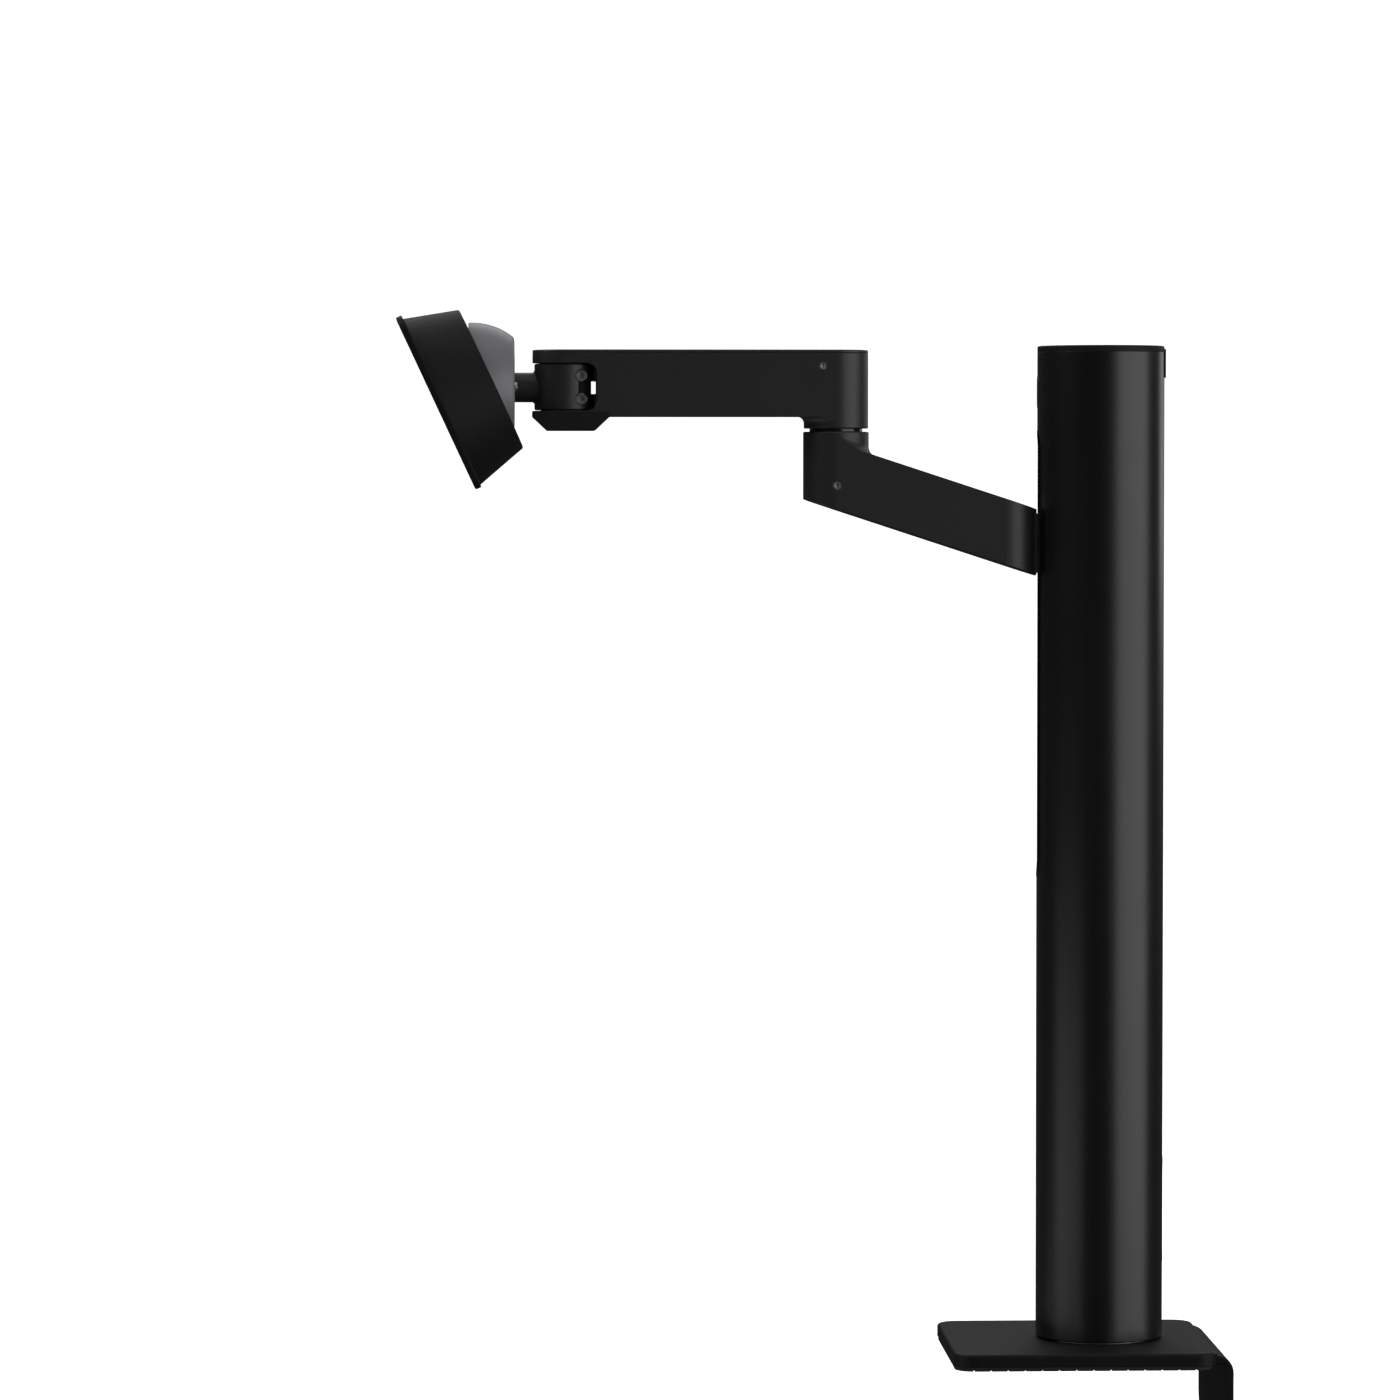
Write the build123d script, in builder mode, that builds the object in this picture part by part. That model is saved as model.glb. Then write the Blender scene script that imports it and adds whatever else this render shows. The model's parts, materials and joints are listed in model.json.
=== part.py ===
"""Desk-clamped monitor arm: a slotted column on a C clamp, a height carriage, two links and a tilting head.

Frame: +Z up, origin on the desk surface under the column's axis, arm towards -X, desk edge towards +X.
"""

import os
from math import cos, radians, sin, sqrt, tan

from build123d import *

# ---------------------------------------------------------------- driving dimensions, in millimetres
run_gap = 0.05  # radial clearance of a pin or shaft that turns or slides in a bore
seat_gap = 0.2  # clearance round a piece that drops into a recess
turn_gap = 0.3  # clearance between faces of bodies that move past each other

# base plate and C clamp
pad_thickness = 2.0
base_height = 6.0
base_front = 73.0
base_rear = 50.5
base_width = 117.0
base_corner = 10.0
base_edge = 1.6
steel = 4.0  # sheet thickness of the clamp bracket
bracket_width = 104.0
bracket_foot_width = 68.0
bracket_front = 58.0
bracket_back = 58.0  # outer face of the bracket's back plate
bracket_bend = 4.0  # inner bend radius
sheet_edge = 0.4
clamp_throat = 88.0  # desk face to the top of the lower jaw
jaw_reach = 24.0  # how far the lower jaw runs in front of the clamp screw
bracket_corner = 8.0
jaw_corner = 14.0
taper_top = 26.0
taper_bottom = 66.0
desk_thickness = 30.0  # the desk that the clamp is set to
thinnest_desk = 12.0
clamp_screw_radius = 6.0
thread_bush_radius = 9.0
thread_bush_flange = 13.0
thread_bush_flange_height = 3.0
thread_bush_rise = 8.0
pressure_pad_radius = 21.0
pressure_pad_thickness = 3.0
pressure_plate_thickness = 3.0
pressure_boss_height = 5.0
knob_radius = 23.0
knob_height = 18.0
knob_lobes = 8

# column and its swivel
column_radius = 30.0
column_wall = 2.5
column_gap = 0.8  # base plate to the bottom of the column
column_top = 475.0
cap_height = 3.0
cap_skirt = 13.0
cap_wall = 2.0
cap_tab_height = 13.5
cap_tab_width = 13.0
cap_tab_thickness = 0.7
post_radius = 19.0
post_wall = 4.0
post_height = 104.5
post_flange_radius = 26.0
post_flange_height = 5.0
post_screw_circle = 21.5
post_screw_radius = 2.5
post_screw_count = 4
post_web = 10.0
retainer_radius = 22.0
retainer_thickness = 3.0
retainer_screw_radius = 4.0
thrust_thickness = 0.5
bush_height = 12.0
cable_notch = 14.0
slot_width = 17.0
slot_bottom = 227.0
slot_top = 438.3
trim_thickness = 1.0
trim_proud = 0.15
plug_width = 8.0
plug_bottom = 447.7
plug_height = 17.0
plug_proud = 0.05
exit_width = 14.0
exit_bottom = 44.0
exit_top = 94.0
grommet_thickness = 1.2

# height guide and gas spring
travel = 130.0
rod_radius = 4.0
rod_x = 3.0
rod_y = 18.5
slide_bush_radius = 6.5
slide_bush_length = 16.0
crossmember_height = 8.0
lower_cross_bottom = 214.0
upper_cross_bottom = 444.0
bumper_gap = 0.5
bumper_radius = 6.6
gas_x = 13.0
gas_radius = 9.0
gas_wall = 1.5
gas_bottom = 130.0
gas_length = 158.0
gas_rod_radius = 4.0
piston_height = 8.0
gland_height = 10.0
anchor_height = 8.0
rear_screw_radius = 2.0
carriage_gap = 1.0  # round the carriage, inside the column
carriage_front = 19.0
carriage_rear = 24.0
carriage_bottom = 364.0
carriage_height = 70.0
cheek_bolt_x = -12.5
cheek_bolt_heights = (378.0, 392.0)
cheek_bolt_radius = 2.5
cheek_head_radius = 4.25
cheek_head_height = 4.5
cheek_inside = 12.0

# lower link
elbow_x = -125.4
lower_radius = 15.5
lower_end_gap = 0.4
lower_slope = 0.3285  # rise per millimetre away from the column
lower_height = 31.6  # measured vertically
lower_bottom_at_column = 369.2
tongue_width = 13.0
tongue_bottom = 371.0
tongue_height = 28.0
tongue_depth = 12.0  # how far the tongue goes into the carriage
tongue_root = 12.5  # start of the tongue, from the centre of the link's rounded end
elbow_level = 437.5  # top face of the lower link's hub
elbow_pin_radius = 7.0
elbow_pin_floor = 5.5
hub_blend = 4.5
cast_edge = 0.8
lower_set_screw_z = 412.2
lower_set_screw_radius = 2.2
cover_thickness = 2.0
lower_pocket = (elbow_x + 23.4, elbow_x + 59.4)
lower_cover = (elbow_x + 16.4, elbow_x + 66.4)
lower_pocket_width = 22.0
lower_cover_width = 26.0
lower_roof = 4.0
small_screw_radius = 1.5
socket_radius = 0.9  # corner radius of the hex sockets in small screws

# upper link
swivel_x = -253.3
upper_radius = 15.2
upper_bottom = 444.5
upper_top = 476.0
upper_cover_thickness = 1.5
seam_chamfer = 0.2  # on both sides of the seam under the upper link's cover
elbow_gap = 1.5
washer_radius = 12.5
elbow_bush_wall = 2.0
elbow_floor = 458.0
nut_across = 18.0
nut_height = 7.0
disc_spring_height = 3.0
upper_wall = 3.0
upper_blend = 3.2
web_start = swivel_x + 14.9  # rear end of the fork slot
web_end = swivel_x + 21.3
fork_low = 447.3
fork_high = 469.7
web_rib = 1.2  # how far the ribs stand out of the web, beside the knuckle
web_rib_y = (8.0, 12.0)
swivel_pin_radius = 5.0
swivel_head_radius = 6.8
swivel_head_height = 2.8
washer_thickness = 0.25
upper_set_screw = (elbow_x - 6.9, 468.4)
upper_set_radius = 1.8
holder_rear = swivel_x + 20.9
holder_drop = 6.6
holder_wrap = 2.4
holder_wall = 1.2
holder_floor = 1.2
holder_chamfer = 7.0
holder_edge = 0.8

# head
neck_z = 458.3
neck_radius = 7.0
neck_blend = 1.2
barrel_radius = 14.3
clamp_screws_x = swivel_x + 7.6
clamp_screws_z = (452.8, 463.8)
clamp_head_radius = 2.8
clamp_shank_radius = 1.6
clamp_seat_y = 6.5  # how far from the middle the heads bear
clamp_head_height = 2.8
notch_z = (455.2, 461.2)  # see-through slit and its side notches
slit_x = swivel_x + 12.3  # front wall of the slit, which is open to the back
notch_x = swivel_x + 8.5
notch_length = 4.6
notch_depth = 20.0
dome_screw_ys = (9.5, -9.5)
dome_shank_radius = 1.2
dome_head_radius = 2.2
head_x = swivel_x - 43.3  # tilt axis
rest_tilt = 25.0
dome_radius = 30.5
dome_wall = 2.5
dome_back = 19.6
dome_front = 2.0
dome_round = 3.0
collar_radius = 13.0
collar_thickness = 2.5
eye_radius = 8.5
eye_width = 14.0
cheek_thickness = 3.5
tilt_bolt_radius = 4.0
tilt_bolt_head = 6.5
tilt_washer_height = 2.0
tilt_nut_height = 5.0
hub_thickness = 3.0
dome_clearance = 1.4  # dome's rim to the display plate at the rest tilt
hub_radius = 17.0
friction_disc_radius = 10.0
friction_disc_thickness = 1.0
plate_side = 88.0
plate_corner = 8.0
plate_thickness = 3.0
vesa_pitch = 75.0
vesa_hole_radius = 2.25
axle_radius = 4.0
axle_head_radius = 9.0
axle_head_height = 1.8
flush_gap = 0.1  # how far flush heads lie below the display plate's face
axle_nut_height = 2.6
stop_pin_radius = 1.2
stop_pin_circle = 13.0
pivot_range = 90.0
stop_slack = 2.0  # degrees of arc slot past each end of the pivot's travel
shroud_back = 9.6
shroud_back_radius = 35.8
shroud_draft = 15.7
shroud_wall = 2.5
shroud_clearance = 0.6
shroud_boss_radius = 2.8
shroud_boss_circle = 36.0
shroud_boss_length = 11.0

# ---------------------------------------------------------------- places worked out from them
plate_z = pad_thickness
base_top = plate_z + base_height
flange_top = plate_z + steel
column_bottom = base_top + column_gap
column_bore = column_radius - column_wall
carriage_radius = column_bore - carriage_gap
jaw_top = -clamp_throat
jaw_bottom = jaw_top - steel
clamp_rise = desk_thickness - thinnest_desk
post_top = flange_top + post_height
thrust_z = flange_top + post_flange_height
lower_bush_z = thrust_z + thrust_thickness + 2 * run_gap
upper_bush_z = post_top - bush_height - 2 * turn_gap
anchor_z = gas_bottom - anchor_height
gas_top = gas_bottom + gas_length
carriage_top = carriage_bottom + carriage_height
lower_end_x = -(column_radius + lower_end_gap) - lower_radius
hub_bottom = elbow_level + elbow_gap
upper_shell_top = upper_top - upper_cover_thickness
barrel_low = fork_low + turn_gap
barrel_high = fork_high - turn_gap
mount_dir = (-cos(radians(rest_tilt)), 0, -sin(radians(rest_tilt)))
head_centre = (head_x, 0, neck_z)
head_plane = Plane(origin=head_centre, x_dir=(0, -1, 0), z_dir=mount_dir)  # local y is up the display
dome_reach = dome_radius * sin(radians(rest_tilt)) + dome_front * cos(radians(rest_tilt))
hub_plane = round(dome_reach + dome_clearance - hub_thickness - friction_disc_thickness - 2 * run_gap, 1)
disc_plane = hub_plane + hub_thickness + run_gap
plate_plane = disc_plane + friction_disc_thickness + run_gap
plate_front = plate_plane + plate_thickness
MIN = (Align.CENTER, Align.CENTER, Align.MIN)
MAX = (Align.CENTER, Align.CENTER, Align.MAX)


def lower_line(x, rise=0.0):
    """Height of the lower link's sloping underside at x, plus rise."""
    return lower_bottom_at_column - lower_slope * (x + column_radius) + rise


def link_band(x_from, x_to, low, high):
    """Corners of a band along the lower link, between two rises above its underside."""
    return [
        (x_from, lower_line(x_from, low)),
        (x_to, lower_line(x_to, low)),
        (x_to, lower_line(x_to, high)),
        (x_from, lower_line(x_from, high)),
    ]


# ---------------------------------------------------------------- base plate and clamp bracket
base_centre_x = (base_rear - base_front) / 2
with BuildPart() as base_pad:
    with BuildSketch():
        with Locations((base_centre_x - 1, 0)):
            RectangleRounded(base_front + base_rear - 3, base_width - 1, base_corner - 1)
    extrude(amount=pad_thickness)

flange_length = bracket_front + bracket_back - steel - bracket_bend
with BuildPart() as base_cover:
    with BuildSketch(Plane.XY.offset(plate_z)):
        with Locations((base_centre_x, 0)):
            RectangleRounded(base_front + base_rear, base_width, base_corner)
    extrude(amount=base_height)
    fillet(base_cover.faces().sort_by(Axis.Z)[-1].outer_wire().edges(), base_edge)
    with BuildSketch(Plane.XY.offset(plate_z)):
        with Locations((-bracket_front - seat_gap, 0)):
            Rectangle(flange_length * 2, bracket_width + 2 * seat_gap, align=(Align.MIN, Align.CENTER))
    extrude(amount=steel, mode=Mode.SUBTRACT)
    with Locations((0, 0, plate_z)):
        Cylinder(post_flange_radius + seat_gap, base_height, align=MIN, mode=Mode.SUBTRACT)

with BuildPart() as clamp_bracket:
    with BuildSketch(Plane.XZ) as bracket_side:
        with BuildLine():
            Polyline(
                (-bracket_front, flange_top),
                (bracket_back, flange_top),
                (bracket_back, jaw_bottom),
                (-jaw_reach, jaw_bottom),
                (-jaw_reach, jaw_top),
                (bracket_back - steel, jaw_top),
                (bracket_back - steel, plate_z),
                (-bracket_front, plate_z),
                close=True,
            )
        make_face()
        corners = bracket_side.vertices()
        outer = bracket_back
        fillet(corners.filter_by_position(Axis.X, outer - 0.01, outer + 0.01), bracket_bend + steel)
        inner = bracket_back - steel
        fillet(corners.filter_by_position(Axis.X, inner - 0.01, inner + 0.01), bracket_bend)
    extrude(amount=bracket_width / 2, both=True)
    with BuildSketch(Plane.YZ) as bracket_taper:
        with BuildLine():
            Polyline(
                (-bracket_width / 2, flange_top),
                (bracket_width / 2, flange_top),
                (bracket_width / 2, -taper_top),
                (bracket_foot_width / 2, -taper_bottom),
                (bracket_foot_width / 2, jaw_bottom),
                (-bracket_foot_width / 2, jaw_bottom),
                (-bracket_foot_width / 2, -taper_bottom),
                (-bracket_width / 2, -taper_top),
                close=True,
            )
        make_face()
        fillet(bracket_taper.vertices().filter_by_position(Axis.Y, -taper_bottom - 1, -taper_top + 1), 10)
    extrude(amount=bracket_back + bracket_front, both=True, mode=Mode.INTERSECT)
    fillet(clamp_bracket.edges().filter_by(Axis.Z).group_by(Axis.X)[0], bracket_corner)
    jaw_corners = clamp_bracket.edges().filter_by(Axis.Z)
    fillet(jaw_corners.filter_by_position(Axis.X, -jaw_reach - 1, -jaw_reach + 1), jaw_corner)
    broken = clamp_bracket.faces().filter_by(Axis.Y).sort_by(Axis.Y)
    chamfer(broken[0].edges() + broken[-1].edges(), sheet_edge)
    with Locations((0, 0, jaw_bottom)):
        Cylinder(thread_bush_radius, steel, align=MIN, mode=Mode.SUBTRACT)
    with Locations((0, 0, plate_z)):
        with PolarLocations(post_screw_circle, post_screw_count, start_angle=45):
            Cylinder(post_screw_radius + run_gap, steel, align=MIN, mode=Mode.SUBTRACT)
            Cone(2 * post_screw_radius, post_screw_radius, post_screw_radius, align=MIN, mode=Mode.SUBTRACT)

with BuildPart() as thread_bush:
    with Locations((0, 0, jaw_bottom - thread_bush_flange_height)):
        Cylinder(thread_bush_flange, thread_bush_flange_height, align=MIN)
    with Locations((0, 0, jaw_bottom)):
        Cylinder(thread_bush_radius, steel + thread_bush_rise, align=MIN)
    chamfer(thread_bush.faces().sort_by(Axis.Z)[-1].edges(), 1)
    with Locations((0, 0, jaw_bottom - thread_bush_flange_height)):
        Cylinder(clamp_screw_radius + run_gap, 40, align=MIN, mode=Mode.SUBTRACT)

# ---------------------------------------------------------------- clamp screw, its knob and its pressure pad
pad_top = -desk_thickness
plate_under = pad_top - pressure_pad_thickness - pressure_plate_thickness
boss_bottom = plate_under - pressure_boss_height
knob_top = jaw_bottom - thread_bush_flange_height - clamp_rise - 1
screw_seat = pressure_boss_height - 1

with BuildPart() as pressure_pad:
    with Locations((0, 0, pad_top)):
        Cylinder(pressure_pad_radius, pressure_pad_thickness, align=MAX)
    fillet(pressure_pad.edges().sort_by(Axis.Z)[-1], 1)

with BuildPart() as pressure_plate:
    with Locations((0, 0, plate_under)):
        Cylinder(pressure_pad_radius, pressure_plate_thickness, align=MIN)
        Cylinder(clamp_screw_radius + 3, pressure_boss_height, align=MAX)
    with Locations((0, 0, boss_bottom)):
        Cylinder(clamp_screw_radius + run_gap, screw_seat + run_gap, align=MIN, mode=Mode.SUBTRACT)

with BuildPart() as clamp_screw:
    with Locations((0, 0, boss_bottom + screw_seat)):
        Cylinder(clamp_screw_radius, boss_bottom + screw_seat - knob_top + knob_height - 4, align=MAX)
    chamfer(clamp_screw.edges().group_by(Axis.Z)[-1], 0.8)

with BuildPart() as clamp_knob:
    with BuildSketch(Plane.XY.offset(knob_top)) as knob_outline:
        Circle(knob_radius)
        with PolarLocations(knob_radius + 3, knob_lobes):
            Circle(6, mode=Mode.SUBTRACT)
        fillet(knob_outline.vertices(), 1.5)
    extrude(amount=-knob_height)
    fillet(clamp_knob.faces().sort_by(Axis.Z)[0].edges(), 1.2)
    with Locations((0, 0, knob_top)):
        Cylinder(clamp_screw_radius, knob_height - 4, align=MAX, mode=Mode.SUBTRACT)

# ---------------------------------------------------------------- swivel post inside the foot of the column
with BuildPart() as swivel_post:
    with Locations((0, 0, flange_top)):
        Cylinder(post_flange_radius, post_flange_height, align=MIN)
        Cylinder(post_radius, post_height, align=MIN)
    with Locations((0, 0, flange_top)):
        Cylinder(post_radius - post_wall, post_height - post_web, align=MIN, mode=Mode.SUBTRACT)
    with Locations((0, 0, post_top)):
        Cylinder(retainer_screw_radius, post_web, align=MAX, mode=Mode.SUBTRACT)
    with Locations((0, 0, flange_top)):
        with PolarLocations(post_screw_circle, post_screw_count, start_angle=45):
            Cylinder(post_screw_radius, post_flange_height, align=MIN, mode=Mode.SUBTRACT)

with BuildPart() as post_screws:
    with Locations((0, 0, plate_z)):
        with PolarLocations(post_screw_circle, post_screw_count, start_angle=45):
            Cylinder(post_screw_radius, steel + post_flange_height - 1, align=MIN)
            Cone(2 * post_screw_radius - run_gap, post_screw_radius, post_screw_radius - run_gap, align=MIN)

with BuildPart() as thrust_ring:
    with Locations((0, 0, thrust_z)):
        Cylinder(post_flange_radius, thrust_thickness, align=MIN)
        Cylinder(post_radius + seat_gap, thrust_thickness, align=MIN, mode=Mode.SUBTRACT)

with BuildPart() as post_retainer:
    with Locations((0, 0, post_top)):
        Cylinder(retainer_radius, retainer_thickness, align=MIN)
        Cylinder(retainer_screw_radius + seat_gap, retainer_thickness, align=MIN, mode=Mode.SUBTRACT)
    chamfer(post_retainer.faces().sort_by(Axis.Z)[-1].outer_wire().edges(), 0.6)

with BuildPart() as retainer_screw:
    with Locations((0, 0, post_top + retainer_thickness)):
        Cylinder(retainer_screw_radius, retainer_thickness + post_web - 1, align=MAX)
        Cylinder(retainer_screw_radius + 2.5, 4.5, align=MIN)
    with BuildSketch(Plane.XY.offset(post_top + retainer_thickness + 4.5)):
        RegularPolygon(3.4, 6)
    extrude(amount=-2.5, mode=Mode.SUBTRACT)

with BuildPart() as swivel_bushes:
    with Locations((0, 0, lower_bush_z), (0, 0, upper_bush_z)):
        Cylinder(column_bore, bush_height, align=MIN)
        Cylinder(post_radius + run_gap, bush_height, align=MIN, mode=Mode.SUBTRACT)
    chamfer(swivel_bushes.edges().filter_by(GeomType.CIRCLE), 0.5)
    with Locations((-post_radius - 2 - column_bore / 2, 0, upper_bush_z)):
        Box(column_bore, cable_notch, bush_height, align=MIN, mode=Mode.SUBTRACT)

# ---------------------------------------------------------------- column
front_plane = Plane(origin=(0, 0, 0), x_dir=(0, -1, 0), z_dir=(-1, 0, 0))  # local y is up
rear_plane = Plane(origin=(0, 0, 0), x_dir=(0, 1, 0), z_dir=(1, 0, 0))  # local y is up
rear_screw_heights = (anchor_z + 4, lower_cross_bottom + 4, upper_cross_bottom + 4)
rear_screw_face = column_radius - 0.4
wall_cut = 2 * column_wall + 2

with BuildPart() as column_tube:
    with Locations((0, 0, column_bottom)):
        Cylinder(column_radius, column_top - column_bottom, align=MIN)
        Cylinder(column_bore, column_top - column_bottom, align=MIN, mode=Mode.SUBTRACT)
    with BuildSketch(front_plane.offset(column_radius - wall_cut)):
        with Locations((0, (slot_bottom + slot_top) / 2)):
            SlotOverall(slot_top - slot_bottom, slot_width, rotation=90)
        with Locations((0, plug_bottom + plug_height / 2)):
            SlotOverall(plug_height, plug_width, rotation=90)
    extrude(amount=2 * wall_cut, mode=Mode.SUBTRACT)
    with BuildSketch(rear_plane.offset(column_radius - wall_cut)):
        with Locations((0, (exit_bottom + exit_top) / 2)):
            SlotOverall(exit_top - exit_bottom, exit_width, rotation=90)
        with Locations(*[(0, z) for z in rear_screw_heights]):
            Circle(rear_screw_radius)
    extrude(amount=2 * wall_cut, mode=Mode.SUBTRACT)
    with Locations(*[(rear_screw_face, 0, z) for z in rear_screw_heights]):
        Cone(
            rear_screw_radius,
            2 * rear_screw_radius,
            rear_screw_radius,
            rotation=(0, 90, 0),
            align=(Align.CENTER, Align.CENTER, Align.MAX),
            mode=Mode.SUBTRACT,
        )
        Cylinder(2 * rear_screw_radius, 2, rotation=(0, 90, 0), align=MIN, mode=Mode.SUBTRACT)
    chamfer(column_tube.faces().sort_by(Axis.Z)[0].outer_wire().edges(), 0.5)

with BuildPart() as top_cap:
    with Locations((0, 0, column_top)):
        Cylinder(column_radius, cap_height, align=MIN)
        Cylinder(column_bore - run_gap, cap_skirt, align=MAX)
        Cylinder(column_bore - run_gap - cap_wall, cap_skirt, align=MAX, mode=Mode.SUBTRACT)
    fillet(top_cap.faces().sort_by(Axis.Z)[-1].edges(), 0.9)
    with BuildSketch(Plane.XY.offset(column_top + cap_height / 2)):
        Circle(column_radius + cap_tab_thickness)
        Circle(column_radius, mode=Mode.SUBTRACT)
        Rectangle(2 * column_radius, cap_tab_width, align=(Align.MIN, Align.CENTER), mode=Mode.INTERSECT)
    extrude(amount=-cap_tab_height)

with BuildPart() as slot_trim:
    with Locations((0, 0, slot_bottom - 1)):
        Cylinder(column_radius + trim_proud, slot_top - slot_bottom + 2, align=MIN)
        Cylinder(column_bore + run_gap, slot_top - slot_bottom + 2, align=MIN, mode=Mode.SUBTRACT)
    with BuildSketch(front_plane):
        with Locations((0, (slot_bottom + slot_top) / 2)):
            SlotOverall(slot_top - slot_bottom, slot_width, rotation=90)
            SlotOverall(
                slot_top - slot_bottom - 2 * trim_thickness,
                slot_width - 2 * trim_thickness,
                rotation=90,
                mode=Mode.SUBTRACT,
            )
    extrude(amount=2 * column_radius, mode=Mode.INTERSECT)

with BuildPart() as front_plug:
    with BuildSketch(front_plane.offset(column_bore)):
        with Locations((0, plug_bottom + plug_height / 2)):
            SlotOverall(plug_height - 2 * run_gap, plug_width - 2 * run_gap, rotation=90)
    extrude(amount=column_wall + plug_proud)
    fillet(front_plug.faces().sort_by(Axis.X)[0].edges(), 0.5)

with BuildPart() as exit_grommet:
    with Locations((0, 0, exit_bottom - 1)):
        Cylinder(column_radius + trim_proud, exit_top - exit_bottom + 2, align=MIN)
        Cylinder(column_bore + run_gap, exit_top - exit_bottom + 2, align=MIN, mode=Mode.SUBTRACT)
    with BuildSketch(rear_plane):
        with Locations((0, (exit_bottom + exit_top) / 2)):
            SlotOverall(exit_top - exit_bottom, exit_width, rotation=90)
            SlotOverall(
                exit_top - exit_bottom - 2 * grommet_thickness,
                exit_width - 2 * grommet_thickness,
                rotation=90,
                mode=Mode.SUBTRACT,
            )
    extrude(amount=2 * column_radius, mode=Mode.INTERSECT)

# ---------------------------------------------------------------- guide rods, crossmembers and gas spring
rod_places = [(rod_x, rod_y), (rod_x, -rod_y)]
rod_bottom = lower_cross_bottom + 2
rod_top = upper_cross_bottom + crossmember_height - 2
with BuildPart() as guide_rods:
    with BuildSketch(Plane.XY.offset(rod_bottom)):
        with Locations(*rod_places):
            Circle(rod_radius)
    extrude(amount=rod_top - rod_bottom)

crossmembers = {}
for cross_name, cross_z, rod_socket in (
    ("lower_crossmember", lower_cross_bottom, (rod_bottom, lower_cross_bottom + crossmember_height)),
    ("upper_crossmember", upper_cross_bottom, (upper_cross_bottom, rod_top)),
):
    with BuildPart() as crossmember:
        with BuildSketch(Plane.XY.offset(cross_z)):
            Circle(column_bore - run_gap)
            with Locations((gas_x, 0)):
                Circle(gas_radius + turn_gap, mode=Mode.SUBTRACT)
            with Locations((-12, 0)):
                SlotOverall(20, 11, rotation=90, mode=Mode.SUBTRACT)
        extrude(amount=crossmember_height)
        with BuildSketch(Plane.XY.offset(rod_socket[0])):
            with Locations(*rod_places):
                Circle(rod_radius)
        extrude(amount=rod_socket[1] - rod_socket[0], mode=Mode.SUBTRACT)
        with BuildSketch(rear_plane.offset(gas_x + gas_radius)):
            with Locations((0, cross_z + 4)):
                Circle(rear_screw_radius)
        extrude(amount=column_radius, mode=Mode.SUBTRACT)
    crossmembers[cross_name] = crossmember

with BuildPart() as gas_anchor:
    with BuildSketch(Plane.XY.offset(anchor_z)):
        Circle(column_bore - run_gap)
        with Locations((-12, 0)):
            SlotOverall(24, 12, rotation=90, mode=Mode.SUBTRACT)
    extrude(amount=anchor_height)
    with BuildSketch(rear_plane.offset(gas_x + gas_radius)):
        with Locations((0, anchor_z + 4)):
            Circle(rear_screw_radius)
    extrude(amount=column_radius, mode=Mode.SUBTRACT)

with BuildPart() as rear_screws:
    with BuildSketch(rear_plane.offset(gas_x + gas_radius + 0.5)):
        with Locations(*[(0, z) for z in rear_screw_heights]):
            Circle(rear_screw_radius)
    extrude(amount=rear_screw_face - gas_x - gas_radius - 0.5)
    with Locations(*[(rear_screw_face, 0, z) for z in rear_screw_heights]):
        Cone(
            rear_screw_radius,
            2 * rear_screw_radius - run_gap,
            rear_screw_radius,
            rotation=(0, 90, 0),
            align=(Align.CENTER, Align.CENTER, Align.MAX),
        )
    with BuildSketch(rear_plane.offset(rear_screw_face)):
        with Locations(*[(0, z) for z in rear_screw_heights]):
            RegularPolygon(1.4, 6)
    extrude(amount=-1.6, mode=Mode.SUBTRACT)

with BuildPart() as gas_cylinder:
    with Locations((gas_x, 0, gas_bottom)):
        Cylinder(gas_radius, gas_length, align=MIN)
    with Locations((gas_x, 0, gas_top)):
        Cylinder(gas_radius - gas_wall, gas_length - 3, align=MAX, mode=Mode.SUBTRACT)

with BuildPart() as rod_gland:
    with Locations((gas_x, 0, gas_top)):
        Cylinder(gas_radius - gas_wall, gland_height, align=MAX)
        Cylinder(gas_rod_radius + run_gap, gland_height, align=MAX, mode=Mode.SUBTRACT)

rod_eye_z = carriage_top - 6
rod_length = rod_eye_z + 3 - (gas_top - gland_height - 1 - piston_height)
with BuildPart() as gas_rod:
    with Locations((gas_x, 0, gas_top - gland_height - 1)):
        Cylinder(gas_radius - gas_wall - 2 * run_gap, piston_height, align=MAX)
    with Locations((gas_x, 0, rod_eye_z + 3)):
        Cylinder(gas_rod_radius, rod_length, align=MAX)

with BuildPart() as stop_bumpers:
    lower_bumper_z = lower_cross_bottom + crossmember_height
    for bumper_z, bumper_end in (
        (lower_bumper_z, carriage_bottom - travel - bumper_gap),
        (carriage_top + bumper_gap, upper_cross_bottom),
    ):
        with BuildSketch(Plane.XY.offset(bumper_z)):
            with Locations(*rod_places):
                Circle(bumper_radius)
                Circle(rod_radius + run_gap, mode=Mode.SUBTRACT)
        extrude(amount=bumper_end - bumper_z)

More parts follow.
